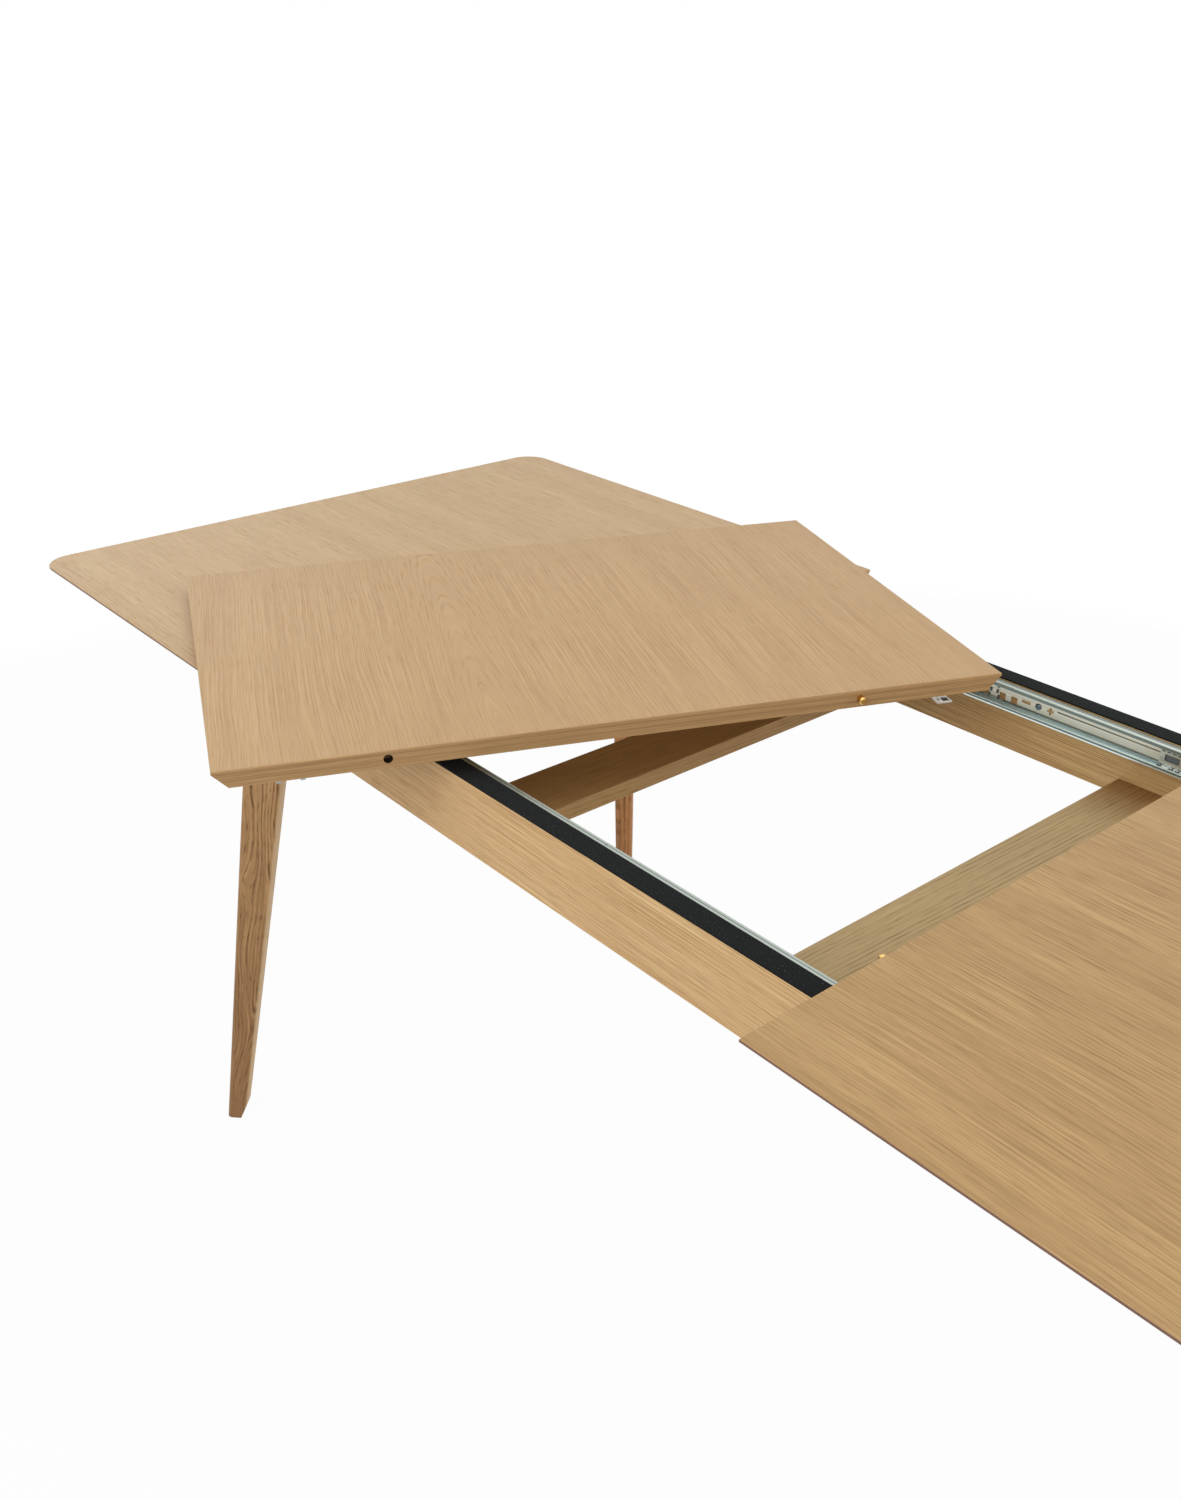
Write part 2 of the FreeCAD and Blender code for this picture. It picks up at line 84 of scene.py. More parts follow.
# Profiles of pressed shapes from foot to crown: scale of the outline in X and in Y, and height
BEAD = np.array([(0, 0, 0), (1, 1, 0), (0.999, 0.75, 0.7), (0.998, 0.35, 1), (0, 0, 1)])
PUNCHED = np.array([(0, 0, 0), (1, 1, 0), (0.95, 0.95, 0.8), (0.8, 0.8, 1), (0, 0, 1)])

LOOKS = 0.7  # a face looks along an axis when its normal has more than this of it
LIES = 0.3  # and lies along the axis when its normal has less than this

# Paler and darker layers of the end bands beside the boards they close
BAND_SHADES = ((0.90, 0.84, 0.75, 1), (0.71, 0.65, 0.56, 1))
BAND_SLICE = 5.0  # slice of the noises that the end bands take their grain from
HOLE_ZONE = (0.006, 0.38)  # holes lie this near a board's middle, in its own Z and Y
# painted shade: the walls of the holes take this share of the pores' colour
HOLE_SHADE = 0.35  # share of the pores' colour inside a hole
BOTH_ENDS = 0  # a board with end bands at both ends of its own X
VENEER_SHINE = 0.5  # specular level of the veneered boards
SOLID_SHINE = 0.3  # and of the solid oak
RAIL_DULL = 0.1  # rails are rougher than the veneer by this
LEG_DULL = 0.08  # and legs by this
# painted shade: the right rail darkens towards the far end, under the leaf
RAIL_PAINTED_SHADE = (0.0, -1.6)  # left and right: the right rail deepens towards the far end
# painted shade on the near plank grows between these distances from its right end, where the near top and
# the right rail shade it
PAINTED_SHADE_REACH = (0.12, 0.005)  # the near plank deepens between these distances from its right end

FLOOR_REACH = 9.0
FLOOR_FADE = (1.2, 2.6)  # the floor turns plain white between these distances
FLOOR_GREYS = ((0.60, 0.60, 0.60, 1), (0.64, 0.64, 0.64, 1))


def corner_names(piece):
    return [f"{end}_{side}_{piece}" for end in ENDS for side in SIDES]


def middle(node):
    """Centre of a node's box as an array."""
    low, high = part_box(node)
    return (np.array(low) + np.array(high)) / 2


def leaf_turn():
    """Angle of the leaf's own X about Z, from the line through its two pins."""
    spread = middle("leaf_front_pin") - middle("leaf_back_pin")
    return math.atan2(spread[1], spread[0]) - math.atan2(PIN_SPREAD[1], PIN_SPREAD[0])


def colour(name, description, default):
    return FloatVectorProperty(
        name=name, description=description, subtype="COLOR_GAMMA", default=default, min=0, max=1
    )


def distance(name, description, default):
    return FloatProperty(
        name=name, description=description, unit="LENGTH", subtype="DISTANCE", default=default
    )


def factor(name, description, default):
    return FloatProperty(
        name=name, description=description, subtype="FACTOR", default=default, min=0, max=1
    )


def power(name, description, default):
    return FloatProperty(name=name, description=description, unit="POWER", default=default)


class OakLook(bpy.types.PropertyGroup):
    """Colours and roughness of the oak."""

    # the far top's paler, greyer colours are partly its own board's tone and partly painted sheen of the
    # white room at its more grazing angle
    near_top_pale: colour("Near top pale", "Pale streaks of the near half top", (0.74, 0.60, 0.393))
    near_top_warm: colour("Near top warm", "Warm streaks of the near half top", (0.64, 0.495, 0.30))
    far_top_pale: colour("Far top pale", "Pale streaks of the far half top", (0.785, 0.662, 0.487))
    far_top_warm: colour("Far top warm", "Warm streaks of the far half top", (0.72, 0.592, 0.418))
    leaf_pale: colour("Leaf pale", "Pale streaks of the leaf", (0.765, 0.63, 0.445))
    leaf_warm: colour("Leaf warm", "Warm streaks of the leaf", (0.69, 0.545, 0.365))
    # both rails are one oak: the left rail's paler colours are painted light and the right rail's browner
    # colours painted shade under the table; the end rails take the lit tones and the corner blocks the
    # shaded ones
    left_rail_pale: colour("Left rail pale", "Pale fibres of the left rail", (0.90, 0.76, 0.555))
    left_rail_warm: colour("Left rail warm", "Brown fibres of the left rail", (0.80, 0.635, 0.43))
    right_rail_pale: colour("Right rail pale", "Pale fibres of the right rail", (0.80, 0.665, 0.45))
    right_rail_warm: colour("Right rail warm", "Brown fibres of the right rail", (0.63, 0.475, 0.285))
    near_plank_pale: colour("Near plank pale", "Pale fibres of the near plank", (0.735, 0.64, 0.465))
    near_plank_warm: colour("Near plank warm", "Brown fibres of the near plank", (0.625, 0.53, 0.365))
    far_plank_pale: colour("Far plank pale", "Pale fibres of the far plank", (0.73, 0.585, 0.375))
    far_plank_warm: colour("Far plank warm", "Brown fibres of the far plank", (0.62, 0.475, 0.285))
    # painted shade: colour of the near plank's right end, which the near top and the right rail shade
    plank_end_shade: colour("Plank end", "Tint of the near plank towards the right rail", (0.72, 0.61, 0.47))
    leg_pale: colour("Leg pale", "Pale fibres of the legs", (0.75, 0.587, 0.40))
    leg_warm: colour("Leg warm", "Brown fibres of the legs", (0.61, 0.452, 0.288))
    red_leg_pale: colour("Red leg pale", "Pale fibres of the redder leg", (0.83, 0.59, 0.37))
    red_leg_warm: colour("Red leg warm", "Brown fibres of the redder leg", (0.71, 0.485, 0.285))
    pore: colour("Pore", "Open pores and early wood lines", (0.46, 0.32, 0.19))
    # painted light: the inward faces of the brown legs are paler, as if lit by the low light on the right
    leg_painted_light: colour("Leg edge", "Paler inward faces of the brown legs", (0.91, 0.78, 0.60))
    lip: colour("Lip", "Thin upright lip along the boards' sides", (0.47, 0.33, 0.26))
    gloss: factor("Roughness", "Roughness of the satin lacquer", 0.44)


class MetalLook(bpy.types.PropertyGroup):
    """Colours of the metal, felt and small parts."""

    zinc: colour("Zinc", "Zinc plated runners of the slides", (0.76, 0.78, 0.75))
    web: colour("Slide web", "Zinc on the webs of the outer slides", (0.86, 0.855, 0.785))
    web_shade: colour("Slide web shade", "Darker drawn lines in the webs", (0.70, 0.70, 0.64))
    flange: colour("Slide flange", "Bright zinc on the flanges and edges", (0.70, 0.73, 0.695))
    # painted light: brighter bluish zinc for the shaded bottom of the channel, and for the painted
    # highlights on the lower lip's edges
    lit_race: colour("Slide race", "Bluish zinc in the lower races", (0.90, 0.96, 0.95))
    # darker zinc of the lower lips, also used as painted shade on the crease and the hanging lip
    lip_and_shade: colour("Slide lip", "Dull bluish zinc on the lower lips", (0.43, 0.485, 0.47))
    # also the painted shade of the groove below the upper flange
    lip_shade: colour("Slide lip shade", "Darker lines in the lower lips", (0.35, 0.40, 0.385))
    zinc_shade: colour("Zinc shade", "Darker streaks in the zinc", (0.66, 0.70, 0.70))
    steel: colour("Hardware", "Bolts, brackets and screws", (0.64, 0.67, 0.70))
    screw: colour("Screws", "Blued screws in the slides", (0.42, 0.47, 0.51))
    clip: colour("Clips", "Bright zinc of the clips", (0.93, 0.93, 0.91))
    # painted shade: the sunk pockets of the clips are near black
    clip_pocket_shade: colour("Clip pockets", "Blackened pockets sunk in the clips", (0.09, 0.09, 0.09))
    bead: colour("Beads", "Shadowed beads in the webs of the slides", (0.46, 0.46, 0.41))
    cage: colour("Ball cage", "Ball cages of the slides", (0.31, 0.335, 0.345))
    brass: colour("Brass", "Aligning pins", (0.86, 0.70, 0.42))
    felt: colour("Felt", "Felt strips on the side rails", (0.080, 0.088, 0.088))
    felt_speck: colour("Felt specks", "Stray pale fibres in the felt", (0.24, 0.29, 0.31))
    pad: colour("Floor pad", "Floor pads under the feet", (0.20, 0.17, 0.15))


class HardwareSizes(bpy.types.PropertyGroup):
    """Sizes of the small hardware that the finish adds."""

    screw_head: distance("Screw head", "Diameter of a screw's head", 0.0074)
    screw_rise: distance("Screw rise", "Height of a screw's head", 0.0014)
    sheet: distance("Slide sheet", "Thickness of a slide's sheet", 0.0012)
    screw_first: distance("First screw", "From the slide's inner end to its first screw", 0.0546)
    screw_last: distance("Last screw", "From the slide's outer end to its last screw", 0.009)
    bead_width: distance("Bead width", "Width of a bead pressed in a slide's web", 0.0014)
    bead_rise: distance("Bead rise", "Height of a bead pressed in a slide's web", 0.00022)
    rivet: distance("Rivet", "Diameter of the tubular rivet at a slide's inner end", 0.0046)
    pocket: distance("Pocket", "Length of a ball pocket at a middle member's end", 0.0052)
    pocket_rise: distance("Pocket rise", "Height of a pocket's rim", 0.0003)
    slit: distance("Slit", "Length of a slit above the pockets", 0.0046)
    ball: distance("Ball", "Diameter of a slide's balls", 0.0026)
    balls: IntProperty(name="Balls", description="Balls in one row of a cage", default=12, min=2)
    clip_offset: distance("Clip offset", "Clips from the boards' long centre line", 0.330)
    clip_seat: distance("Clip seat", "Length of a clip under its board", 0.024)


class StageLook(bpy.types.PropertyGroup):
    """Camera and light of the studio."""

    eye: FloatVectorProperty(
        name="Camera place",
        description="Where the camera stands",
        subtype="TRANSLATION",
        unit="LENGTH",
        default=(0.8178, -0.9425, 1.3697),
    )
    aim: FloatVectorProperty(
        name="Camera angles",
        description="Turn of the camera about X, Y and Z",
        subtype="EULER",
        unit="ROTATION",
        default=tuple(math.radians(a) for a in (62.956, -0.173, 50.050)),
    )
    lens: FloatProperty(
        name="Lens", description="Focal length on a 36 mm frame", unit="CAMERA", default=34.47
    )
    ambient: factor("Ambient", "Light from the white room all round", 0.42)
    ceiling: power("Ceiling light", "Power of the overhead softbox", 78)
    window: power("Side light", "Power of the softbox on the left", 57)
    lamp: power("Low light", "Power of the low softbox on the right", 56)
    back: power("Back light", "Power of the softbox past the far end", 7)
    floor_white: factor("Floor white", "Share of plain white in the floor as it is seen", 0.965)


def linear(display):
    """Linear colour with alpha from a display colour."""
    value = np.array(display[:3])
    low, high = value / 12.92, ((value + 0.055) / 1.055) ** 2.4
    return tuple(np.where(value <= 0.04045, low, high)) + (1.0,)


class Tree:
    """Adds nodes to the tree of a material or world and wires them."""

    def __init__(self, owner):
        owner.use_nodes = True
        self.nodes = owner.node_tree.nodes
        self.links = owner.node_tree.links

    def put(self, socket, value):
        """Link the socket, or set it where the value is plain."""
        if isinstance(value, bpy.types.NodeSocket):
            self.links.new(value, socket)
        else:
            socket.default_value = value

    def node(self, kind, inputs=(), **settings):
        made = self.nodes.new("ShaderNode" + kind)
        for name, value in settings.items():
            setattr(made, name, value)
        for name, value in dict(inputs).items():
            self.put(made.inputs[name], value)
        return made

    def math(self, operation, *values):
        return self.node("Math", enumerate(values), operation=operation).outputs[0]

    def vector(self, operation, *values):
        made = self.node("VectorMath", enumerate(values), operation=operation)
        return made.outputs["Value" if operation == "LENGTH" else "Vector"]

    def combine(self, x, y, z):
        return self.node("CombineXYZ", {"X": x, "Y": y, "Z": z}).outputs[0]

    def noise(self, vector, scale, detail=2.0, rough=0.5):
        """Noise whose scale is one number, or one along each axis."""
        stretched = self.vector("MULTIPLY", vector, np.broadcast_to(scale, 3))
        inputs = {"Vector": stretched, "Scale": 1.0, "Detail": detail, "Roughness": rough}
        return self.node("TexNoise", inputs).outputs["Fac"]

    def steps(self, value, low, high):
        """Smooth step from 0 at low to 1 at high."""
        inputs = {"Value": value, "From Min": low, "From Max": high}
        return self.node("MapRange", inputs, interpolation_type="SMOOTHSTEP").outputs[0]

    def between(self, share, low, high):
        """Value that goes from low where share is 0 to high where it is 1."""
        return self.math("MULTIPLY_ADD", share, high - low, low)

    def above(self, value, limit):
        return self.math("GREATER_THAN", value, limit)

    def below(self, value, limit):
        return self.math("LESS_THAN", value, limit)

    def size(self, value):
        return self.math("ABSOLUTE", value)

    def rest(self, share):
        return self.math("SUBTRACT", 1.0, share)

    def both(self, a, b):
        return self.math("MULTIPLY", a, b)

    def apart(self, a, b):
        """Distance between two values."""
        return self.size(self.math("SUBTRACT", a, b))

    def mix(self, share, a, b, blend="MIX"):
        """Colour a where share is 0 and b where it is 1, or a blended with b."""
        return self.node("Mix", {0: share, 6: a, 7: b}, data_type="RGBA", blend_type=blend).outputs[2]

    def choose(self, share, a, b):
        """Vector a where share is 0 and b where it is 1."""
        return self.node("Mix", {0: share, 4: a, 5: b}, data_type="VECTOR").outputs[1]

    def seen(self):
        """1 for rays that show the background itself: from the camera, a gloss or a clear body."""
        rays = self.node("LightPath").outputs
        bent = self.math("MAXIMUM", rays["Is Glossy Ray"], rays["Is Transmission Ray"])
        return self.math("MAXIMUM", rays["Is Camera Ray"], bent)


class Surface(Tree):
    """A new material's tree, with its shader and the coordinates of the object it lies on."""

    def __init__(self, name):
        self.material = bpy.data.materials.new(name)
        super().__init__(self.material)
        self.shader = self.nodes["Principled BSDF"]
        self.coords = self.node("TexCoord").outputs
        self.place = self.coords["Object"]

    def facing(self, turn):
        """Parts of the surface's own direction along the axes of a turned board."""
        inputs = {"Vector": self.coords["Normal"], "Rotation": turn}
        turned = self.node("Mapping", inputs, vector_type="TEXTURE").outputs[0]
        return self.node("SeparateXYZ", {0: turned}).outputs

    def bump(self, height, strength, depth):
        inputs = {"Height": height, "Strength": strength, "Distance": depth}
        return self.node("Bump", inputs).outputs[0]

    def finish(self, **sockets):
        """Link or set the shader's sockets, with _ for the spaces in their names."""
        for name, value in sockets.items():
            self.put(self.shader.inputs[name.replace("_", " ")], value)
        return self.material


# How a board is cut: its centre and turn, the tree's heart in its own Y and Z, the slope of that heart
# along X, the width of a growth ring, and how far the rings wander and swirl
Cut = namedtuple("Cut", "centre turn heart slope ring wander swirl")
TOP_CUT = dict(slope=(0.012, 0.02), ring=0.0046, wander=0.030, swirl=0.18)
LEAF_CUT = dict(heart=(-0.115, 0.030), slope=(0.03, 0.05), ring=0.0042, wander=0.030, swirl=0.25)
RAIL_CUT = dict(heart=(0.9, 0.10), slope=(0.02, 0.01), ring=0.0023, wander=0.020, swirl=0.10)
CROSS_CUT = dict(heart=(0.35, 0.35), slope=(0.02, 0.01), ring=0.0034, wander=0.020, swirl=0.12)
BLOCK_CUT = dict(heart=(0.30, 0.05), slope=(0.01, 0.02), ring=0.0036, wander=0.015, swirl=0.18)
LEG_CUT = dict(slope=(0.02, 0.05), ring=0.0030, wander=0.050)

# How strongly bands, streaks and fine lines show, breaks of the lines per metre, darkness of rings and
# pores, how far the grain is drawn out, and how fast the colour darkens along X: on the right rail a
# painted shade towards the far end, on the legs darker towards the foot
Figure = namedtuple("Figure", "bands streaks lines breaks rings pores run deepen", defaults=(0.0,))
TOP_FIGURE = Figure(bands=1.5, streaks=0.7, lines=4.8, breaks=13.0, rings=0.03, pores=0.22, run=1.4)
LEAF_FIGURE = Figure(bands=0.9, streaks=0.4, lines=4.2, breaks=9.0, rings=0.02, pores=0.12, run=2.0)
RAIL_FIGURE = Figure(bands=0.6, streaks=0.3, lines=3.6, breaks=8.0, rings=0.16, pores=0.28, run=1.5)
LEG_FIGURE = Figure(
    bands=0.8, streaks=1.0, lines=3.2, breaks=8.0, rings=0.34, pores=0.55, run=0.9, deepen=2.2
)


def oak(name, cut, figure, pale, warm, pore, gloss, edges=None, lip=None, painted_light_colour=None, painted_shade=None):
    """Oak whose figure is the distance from a tilted tree's heart, drawn out along the grain.

    The board's own X runs along the grain. The distance wanders with a slow noise, its even
    steps are the growth rings, and all finer streaks and pores are noises of that distance and
    of X, so that they follow the rings round a cathedral figure. A board with edges has bands
    there, grained along Y: 1 or -1 for the end of X that has one, or BOTH_ENDS. Its other upright
    faces take the colour of the lip. Faces towards -Y are mostly the colour given as
    painted_light_colour, a painted light on the inward faces of the legs. A painted shade is where
    along X the painted shade begins to darken the wood, where it is darkest, and its colour there.
    """
    t = Surface(name)
    placing = {"Vector": t.place, "Location": cut.centre, "Rotation": cut.turn}
    local = t.node("Mapping", placing, vector_type="TEXTURE").outputs[0]
    axes = t.node("SeparateXYZ", {0: local}).outputs

    slow = t.math("SUBTRACT", t.noise(local, (1.1, 3.0, 3.0), 1.0), 0.5)
    drift = t.math("SUBTRACT", t.noise(local, (7.0, 16.0, 16.0), 1.0), 0.5)
    wander = t.math("MULTIPLY_ADD", drift, cut.swirl, slow)
    lean = t.math("MULTIPLY_ADD", axes["X"], cut.slope[0], axes["Y"])
    across = t.math("MULTIPLY_ADD", wander, cut.wander, t.math("SUBTRACT", lean, cut.heart[0]))
    lean = t.math("MULTIPLY_ADD", axes["X"], cut.slope[1], axes["Z"])
    deep = t.math("SUBTRACT", lean, cut.heart[1])
    radius = t.vector("LENGTH", t.combine(across, deep, 0.0))
    upright_rings = t.math("DIVIDE", t.size(across), radius)
    grain = t.combine(t.math("DIVIDE", axes["X"], figure.run), radius, 0.0)
    facing = t.facing(cut.turn)
    if edges is not None:
        along = t.size(facing["X"])
        outward = along if edges == BOTH_ENDS else t.both(facing["X"], edges)
        band = t.above(outward, LOOKS)
        grain = t.choose(band, grain, t.combine(axes["Y"], axes["Z"], BAND_SLICE))
    radius = t.node("SeparateXYZ", {0: grain}).outputs["Y"]

    # the noises' scales are per metre, along the grain and across it
    broad = t.noise(grain, (0.7, 24.0, 1.0), 2.0)
    streak = t.noise(grain, (1.8, 150.0, 1.0), 3.0, 0.6)
    comb = t.noise(grain, (figure.breaks, 900.0, 1.0), 1.0, 0.5)
    combed = t.steps(t.noise(grain, (0.6, 11.0, 1.0), 1.0), 0.38, 0.62)
    fibre = t.noise(grain, (24.0, 1200.0, 1.0), 2.0, 0.6)
    dashes = t.noise(grain, (55.0, 760.0, 1.0), 1.0)
    rings = t.math("FRACT", t.math("DIVIDE", radius, cut.ring))
    late = t.rest(t.steps(rings, 0.22, 0.7))
    early = t.both(t.steps(rings, 0.0, 0.18), late)

    # pale and warm wood by bands, streaks and lines, which are strongest where rings stand upright
    # the colour darkens along X by deepen: painted shade on the right rail, darker towards the foot on the
    # legs
    tone = t.math("MULTIPLY_ADD", axes["X"], figure.deepen, 0.5)
    lines = t.between(combed, 0.4 * figure.lines, figure.lines)
    lines = t.both(lines, t.between(t.steps(upright_rings, 0.2, 0.95), 0.18, 1.0))
    for noise, share in ((broad, figure.bands), (streak, figure.streaks), (comb, lines)):
        tone = t.math("MULTIPLY_ADD", t.math("SUBTRACT", noise, 0.5), share, tone)
    shade = t.mix(tone, linear(pale), linear(warm))
    light = t.between(fibre, 0.8, 1.2)
    shade = t.mix(1.0, shade, t.combine(light, light, light), "MULTIPLY")

    # pores, thickest in the early wood, and the broken lines of the rings
    pits = t.both(t.steps(dashes, 0.48, 0.66), t.between(early, 0.3, 1.0))
    broken = t.both(early, t.both(t.steps(comb, 0.3, 0.7), 2 * figure.rings))
    dark = t.math("MULTIPLY_ADD", pits, figure.pores, broken)
    shade = t.mix(dark, shade, linear(pore))
    if painted_light_colour is not None:
        # painted light on the inward faces, which the low light on the right falls on
        inward = t.steps(t.both(facing["Y"], -1.0), 0.5, 0.9)
        shade = t.mix(inward, shade, t.mix(0.25, linear(painted_light_colour), shade))
    # painted shade: the near plank darkens towards its right end
    if painted_shade is not None:
        start, stop, tint = painted_shade
        shaded_wood = t.mix(1.0, shade, linear(tint), "MULTIPLY")
        shade = t.mix(t.steps(axes["X"], start, stop), shade, shaded_wood)
    if edges is not None:
        upright = t.below(t.size(facing["Z"]), LIES)
        side = t.both(upright, t.rest(band))
        shade = t.mix(side, shade, linear(lip))
        layers = t.steps(t.noise(grain, (1.2, 340.0, 1.0), 2.0), 0.40, 0.66)
        shade = t.mix(band, shade, t.mix(1.0, shade, t.mix(layers, *BAND_SHADES), "MULTIPLY"))
        # painted shade on the walls of the pin holes in the split edges
        within = t.below(t.size(axes["Z"]), HOLE_ZONE[0])
        within = t.both(within, t.below(t.size(axes["Y"]), HOLE_ZONE[1]))
        shaded_hole = t.both(within, t.below(along, LIES))
        shade = t.mix(shaded_hole, shade, linear([part * HOLE_SHADE for part in pore]))

    rough = t.between(fibre, gloss - 0.08, gloss + 0.08)
    rough = t.math("MULTIPLY_ADD", pits, 0.2, rough)
    relief = t.bump(t.math("MULTIPLY_ADD", pits, -0.8, fibre), 0.15, 0.0003)
    shine = SOLID_SHINE if edges is None else VENEER_SHINE
    return t.finish(Base_Color=shade, Roughness=rough, Normal=relief, Specular_IOR_Level=shine)


def plated(name, base, shade, rough, streaks=(6.0, 220.0, 220.0)):
    """Bright metal, drawn along X, with faint darker streaks and cloudy dulling."""
    t = Surface(name)
    drawn = t.noise(t.place, streaks, 3.0)
    cloud = t.noise(t.place, 60.0, 3.0)
    tint = t.mix(t.steps(drawn, 0.35, 0.75), linear(base), linear(shade))
    dull = t.between(cloud, rough - 0.1, rough + 0.1)
    relief = t.bump(drawn, 0.06, 0.0002)
    return t.finish(Base_Color=tint, Roughness=dull, Normal=relief, Metallic=1.0)


def channel_zinc(name, look, channels):
    """Zinc on the outer slides, in zones that run the whole length of a channel.

    The zones follow the height above a channel's foot and the depth from its rail, which is the
    same on both sides of the table's middle plane: a pale web with a dark groove of painted shade
    below the upper flange, a bluish streaked lower race made brighter as painted light in the
    channel's shaded bottom, a darker lower lip with two painted highlights along its edges, and a
    brighter upper flange with a crease drawn as painted shade and a darker hanging lip that is
    painted shade under the flange.
    """
    t = Surface(name)
    axes = t.node("SeparateXYZ", {0: t.place}).outputs
    depth = t.math("SUBTRACT", channels.reach, t.apart(axes["Y"], channels.middle))
    rise = t.math("SUBTRACT", axes["Z"], channels.foot)
    # widths in sheets: a fold, the brim of a lip, the bend at its foot and the wall of the race
    fold, brim, bend, wall = (share * channels.sheet for share in (1.3, 0.4, 1.9, 1.7))

    front = t.above(depth, channels.depth - fold)
    lip = t.both(front, t.below(rise, channels.lip))
    # painted highlights along the lower lip's brim and its foot
    edge = t.above(rise, channels.lip - brim)
    edge = t.math("MAXIMUM", t.below(rise, bend), edge)
    # painted light: the bottom of the channel, in the lip's shade, takes a brighter bluish zinc
    lit_race = t.below(rise, channels.lip + wall)
    lit_race = t.both(lit_race, t.rest(front))
    # painted shade: a dark groove below the upper flange, under the lip
    groove = t.below(t.apart(rise, channels.groove), fold)
    groove = t.both(groove, t.below(depth, channels.depth / 2))
    flange = t.above(rise, channels.groove + fold)
    # painted shade along a crease of the upper flange
    crease = t.both(flange, t.below(t.apart(depth, channels.crease), channels.sheet / 2))
    # painted shade: the hanging lip under the upper flange is darker
    hanging = t.below(rise, channels.groove + channels.lip - brim)
    hanging = t.both(t.both(front, flange), hanging)

    drawn = t.noise(t.place, (2.5, 500.0, 500.0), 2.0)
    cloud = t.noise(t.place, (40.0, 60.0, 60.0), 2.0)
    faint = t.steps(drawn, 0.3, 0.8)
    web = t.mix(faint, linear(look.web), linear(look.web_shade))
    dull = t.mix(faint, linear(look.lip_and_shade), linear(look.lip_shade))
    streaked = t.mix(t.steps(drawn, 0.4, 0.65), linear(look.lit_race), linear(look.zinc_shade))
    tint = web
    for zone, finish in (
        (flange, linear(look.flange)),
        (crease, linear(look.lip_and_shade)),
        (groove, linear(look.lip_shade)),
        (lit_race, streaked),
        (lip, dull),
        (t.both(lip, edge), linear(look.lit_race)),
        (hanging, linear(look.lip_and_shade)),
    ):
        tint = t.mix(zone, tint, finish)
    rough = t.between(cloud, 0.30, 0.42)
    relief = t.bump(drawn, 0.04, 0.0001)
    return t.finish(Base_Color=tint, Roughness=rough, Normal=relief, Metallic=0.75)


def clip_zinc(name, base, shade, pocket_shade, level):
    """Zinc of a clip whose sunk pocket, below the level and facing up, takes a near-black painted shade."""
    t = Surface(name)
    height = t.node("SeparateXYZ", {0: t.place}).outputs["Z"]
    upward = t.node("SeparateXYZ", {0: t.coords["Normal"]}).outputs["Z"]
    pocket = t.both(t.below(height, level), t.above(upward, LOOKS))
    cloud = t.noise(t.place, 260.0, 3.0)
    tint = t.mix(t.steps(cloud, 0.3, 0.8), linear(base), linear(shade))
    # painted shade in the pocket
    tint = t.mix(pocket, tint, linear(pocket_shade))
    rough = t.between(cloud, 0.22, 0.42)
    relief = t.bump(cloud, 0.05, 0.0001)
    return t.finish(Base_Color=tint, Roughness=rough, Normal=relief, Metallic=0.4)


def felt(name, base, speck):
    """Pressed felt: a dark matted ground with stray pale fibres and a soft sheen."""
    t = Surface(name)
    mat = t.noise(t.place, 900.0, 4.0, 0.7)
    stray = t.noise(t.place, (520.0, 700.0, 600.0), 2.0)
    tint = t.mix(t.steps(stray, 0.60, 0.76), linear(base), linear(speck))
    light = t.between(mat, 0.55, 1.45)
    tint = t.mix(1.0, tint, t.combine(light, light, light), "MULTIPLY")
    rough = t.between(mat, 0.88, 0.98)
    relief = t.bump(mat, 0.6, 0.0008)
    shine = {"Sheen_Weight": 0.04, "Specular_IOR_Level": 0.1}
    return t.finish(Base_Color=tint, Roughness=rough, Normal=relief, **shine)


def moulded(name, base, rough):
    """Moulded plastic or rubber with a fine matt grain."""
    t = Surface(name)
    grain = t.noise(t.place, 1200.0, 2.0)
    cloud = t.noise(t.place, 90.0, 2.0)
    light = linear(tuple(min(1.0, part * 1.2) for part in base))
    tint = t.mix(cloud, linear(base), light)
    dull = t.between(cloud, rough - 0.07, rough + 0.08)
    return t.finish(Base_Color=tint, Roughness=dull, Normal=t.bump(grain, 0.2, 0.0003))


def dress(material, names):
    """Give the named nodes of the frame this material."""
    for name in names:
        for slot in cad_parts[name].material_slots:
            slot.material = material


def rounded(count, corner=2.0):
    """Unit outline as a closed loop of points: a circle for a corner of 2, squarer above it."""
    turn = np.linspace(0, 2 * math.pi, count, endpoint=False)
    across, up = np.cos(turn), np.sin(turn)
    share = 2.0 / corner
    return np.stack(
        [np.sign(across) * np.abs(across) ** share, np.sign(up) * np.abs(up) ** share], axis=1
    )


def pressed(outline, profile, relief=None):
    """Closed skin whose rings are the outline scaled by each profile row, raised by its height.

    The first and last rows have no size, so they close to one point each. A relief is a function
    of a ring's two plane coordinates that is added to its height.
    """
    sizes, heights = profile[:, :-1], profile[:, -1]
    rings = outline[None, :, :] * sizes[1:-1, None, :]
    lift = np.broadcast_to(heights[1:-1, None], rings.shape[:2])
    if relief is not None:
        lift = lift + relief(rings[..., 0], rings[..., 1])
    body = np.concatenate([rings, lift[..., None]], axis=2).reshape(-1, 3)
    poles = np.array([[0, 0, heights[0]], [0, 0, heights[-1]]])
    if relief is not None:
        poles[1, 2] += relief(poles[1, 0], poles[1, 1])
    points = np.concatenate([body, poles])
    return points, ring_faces(len(sizes) - 2, len(outline))


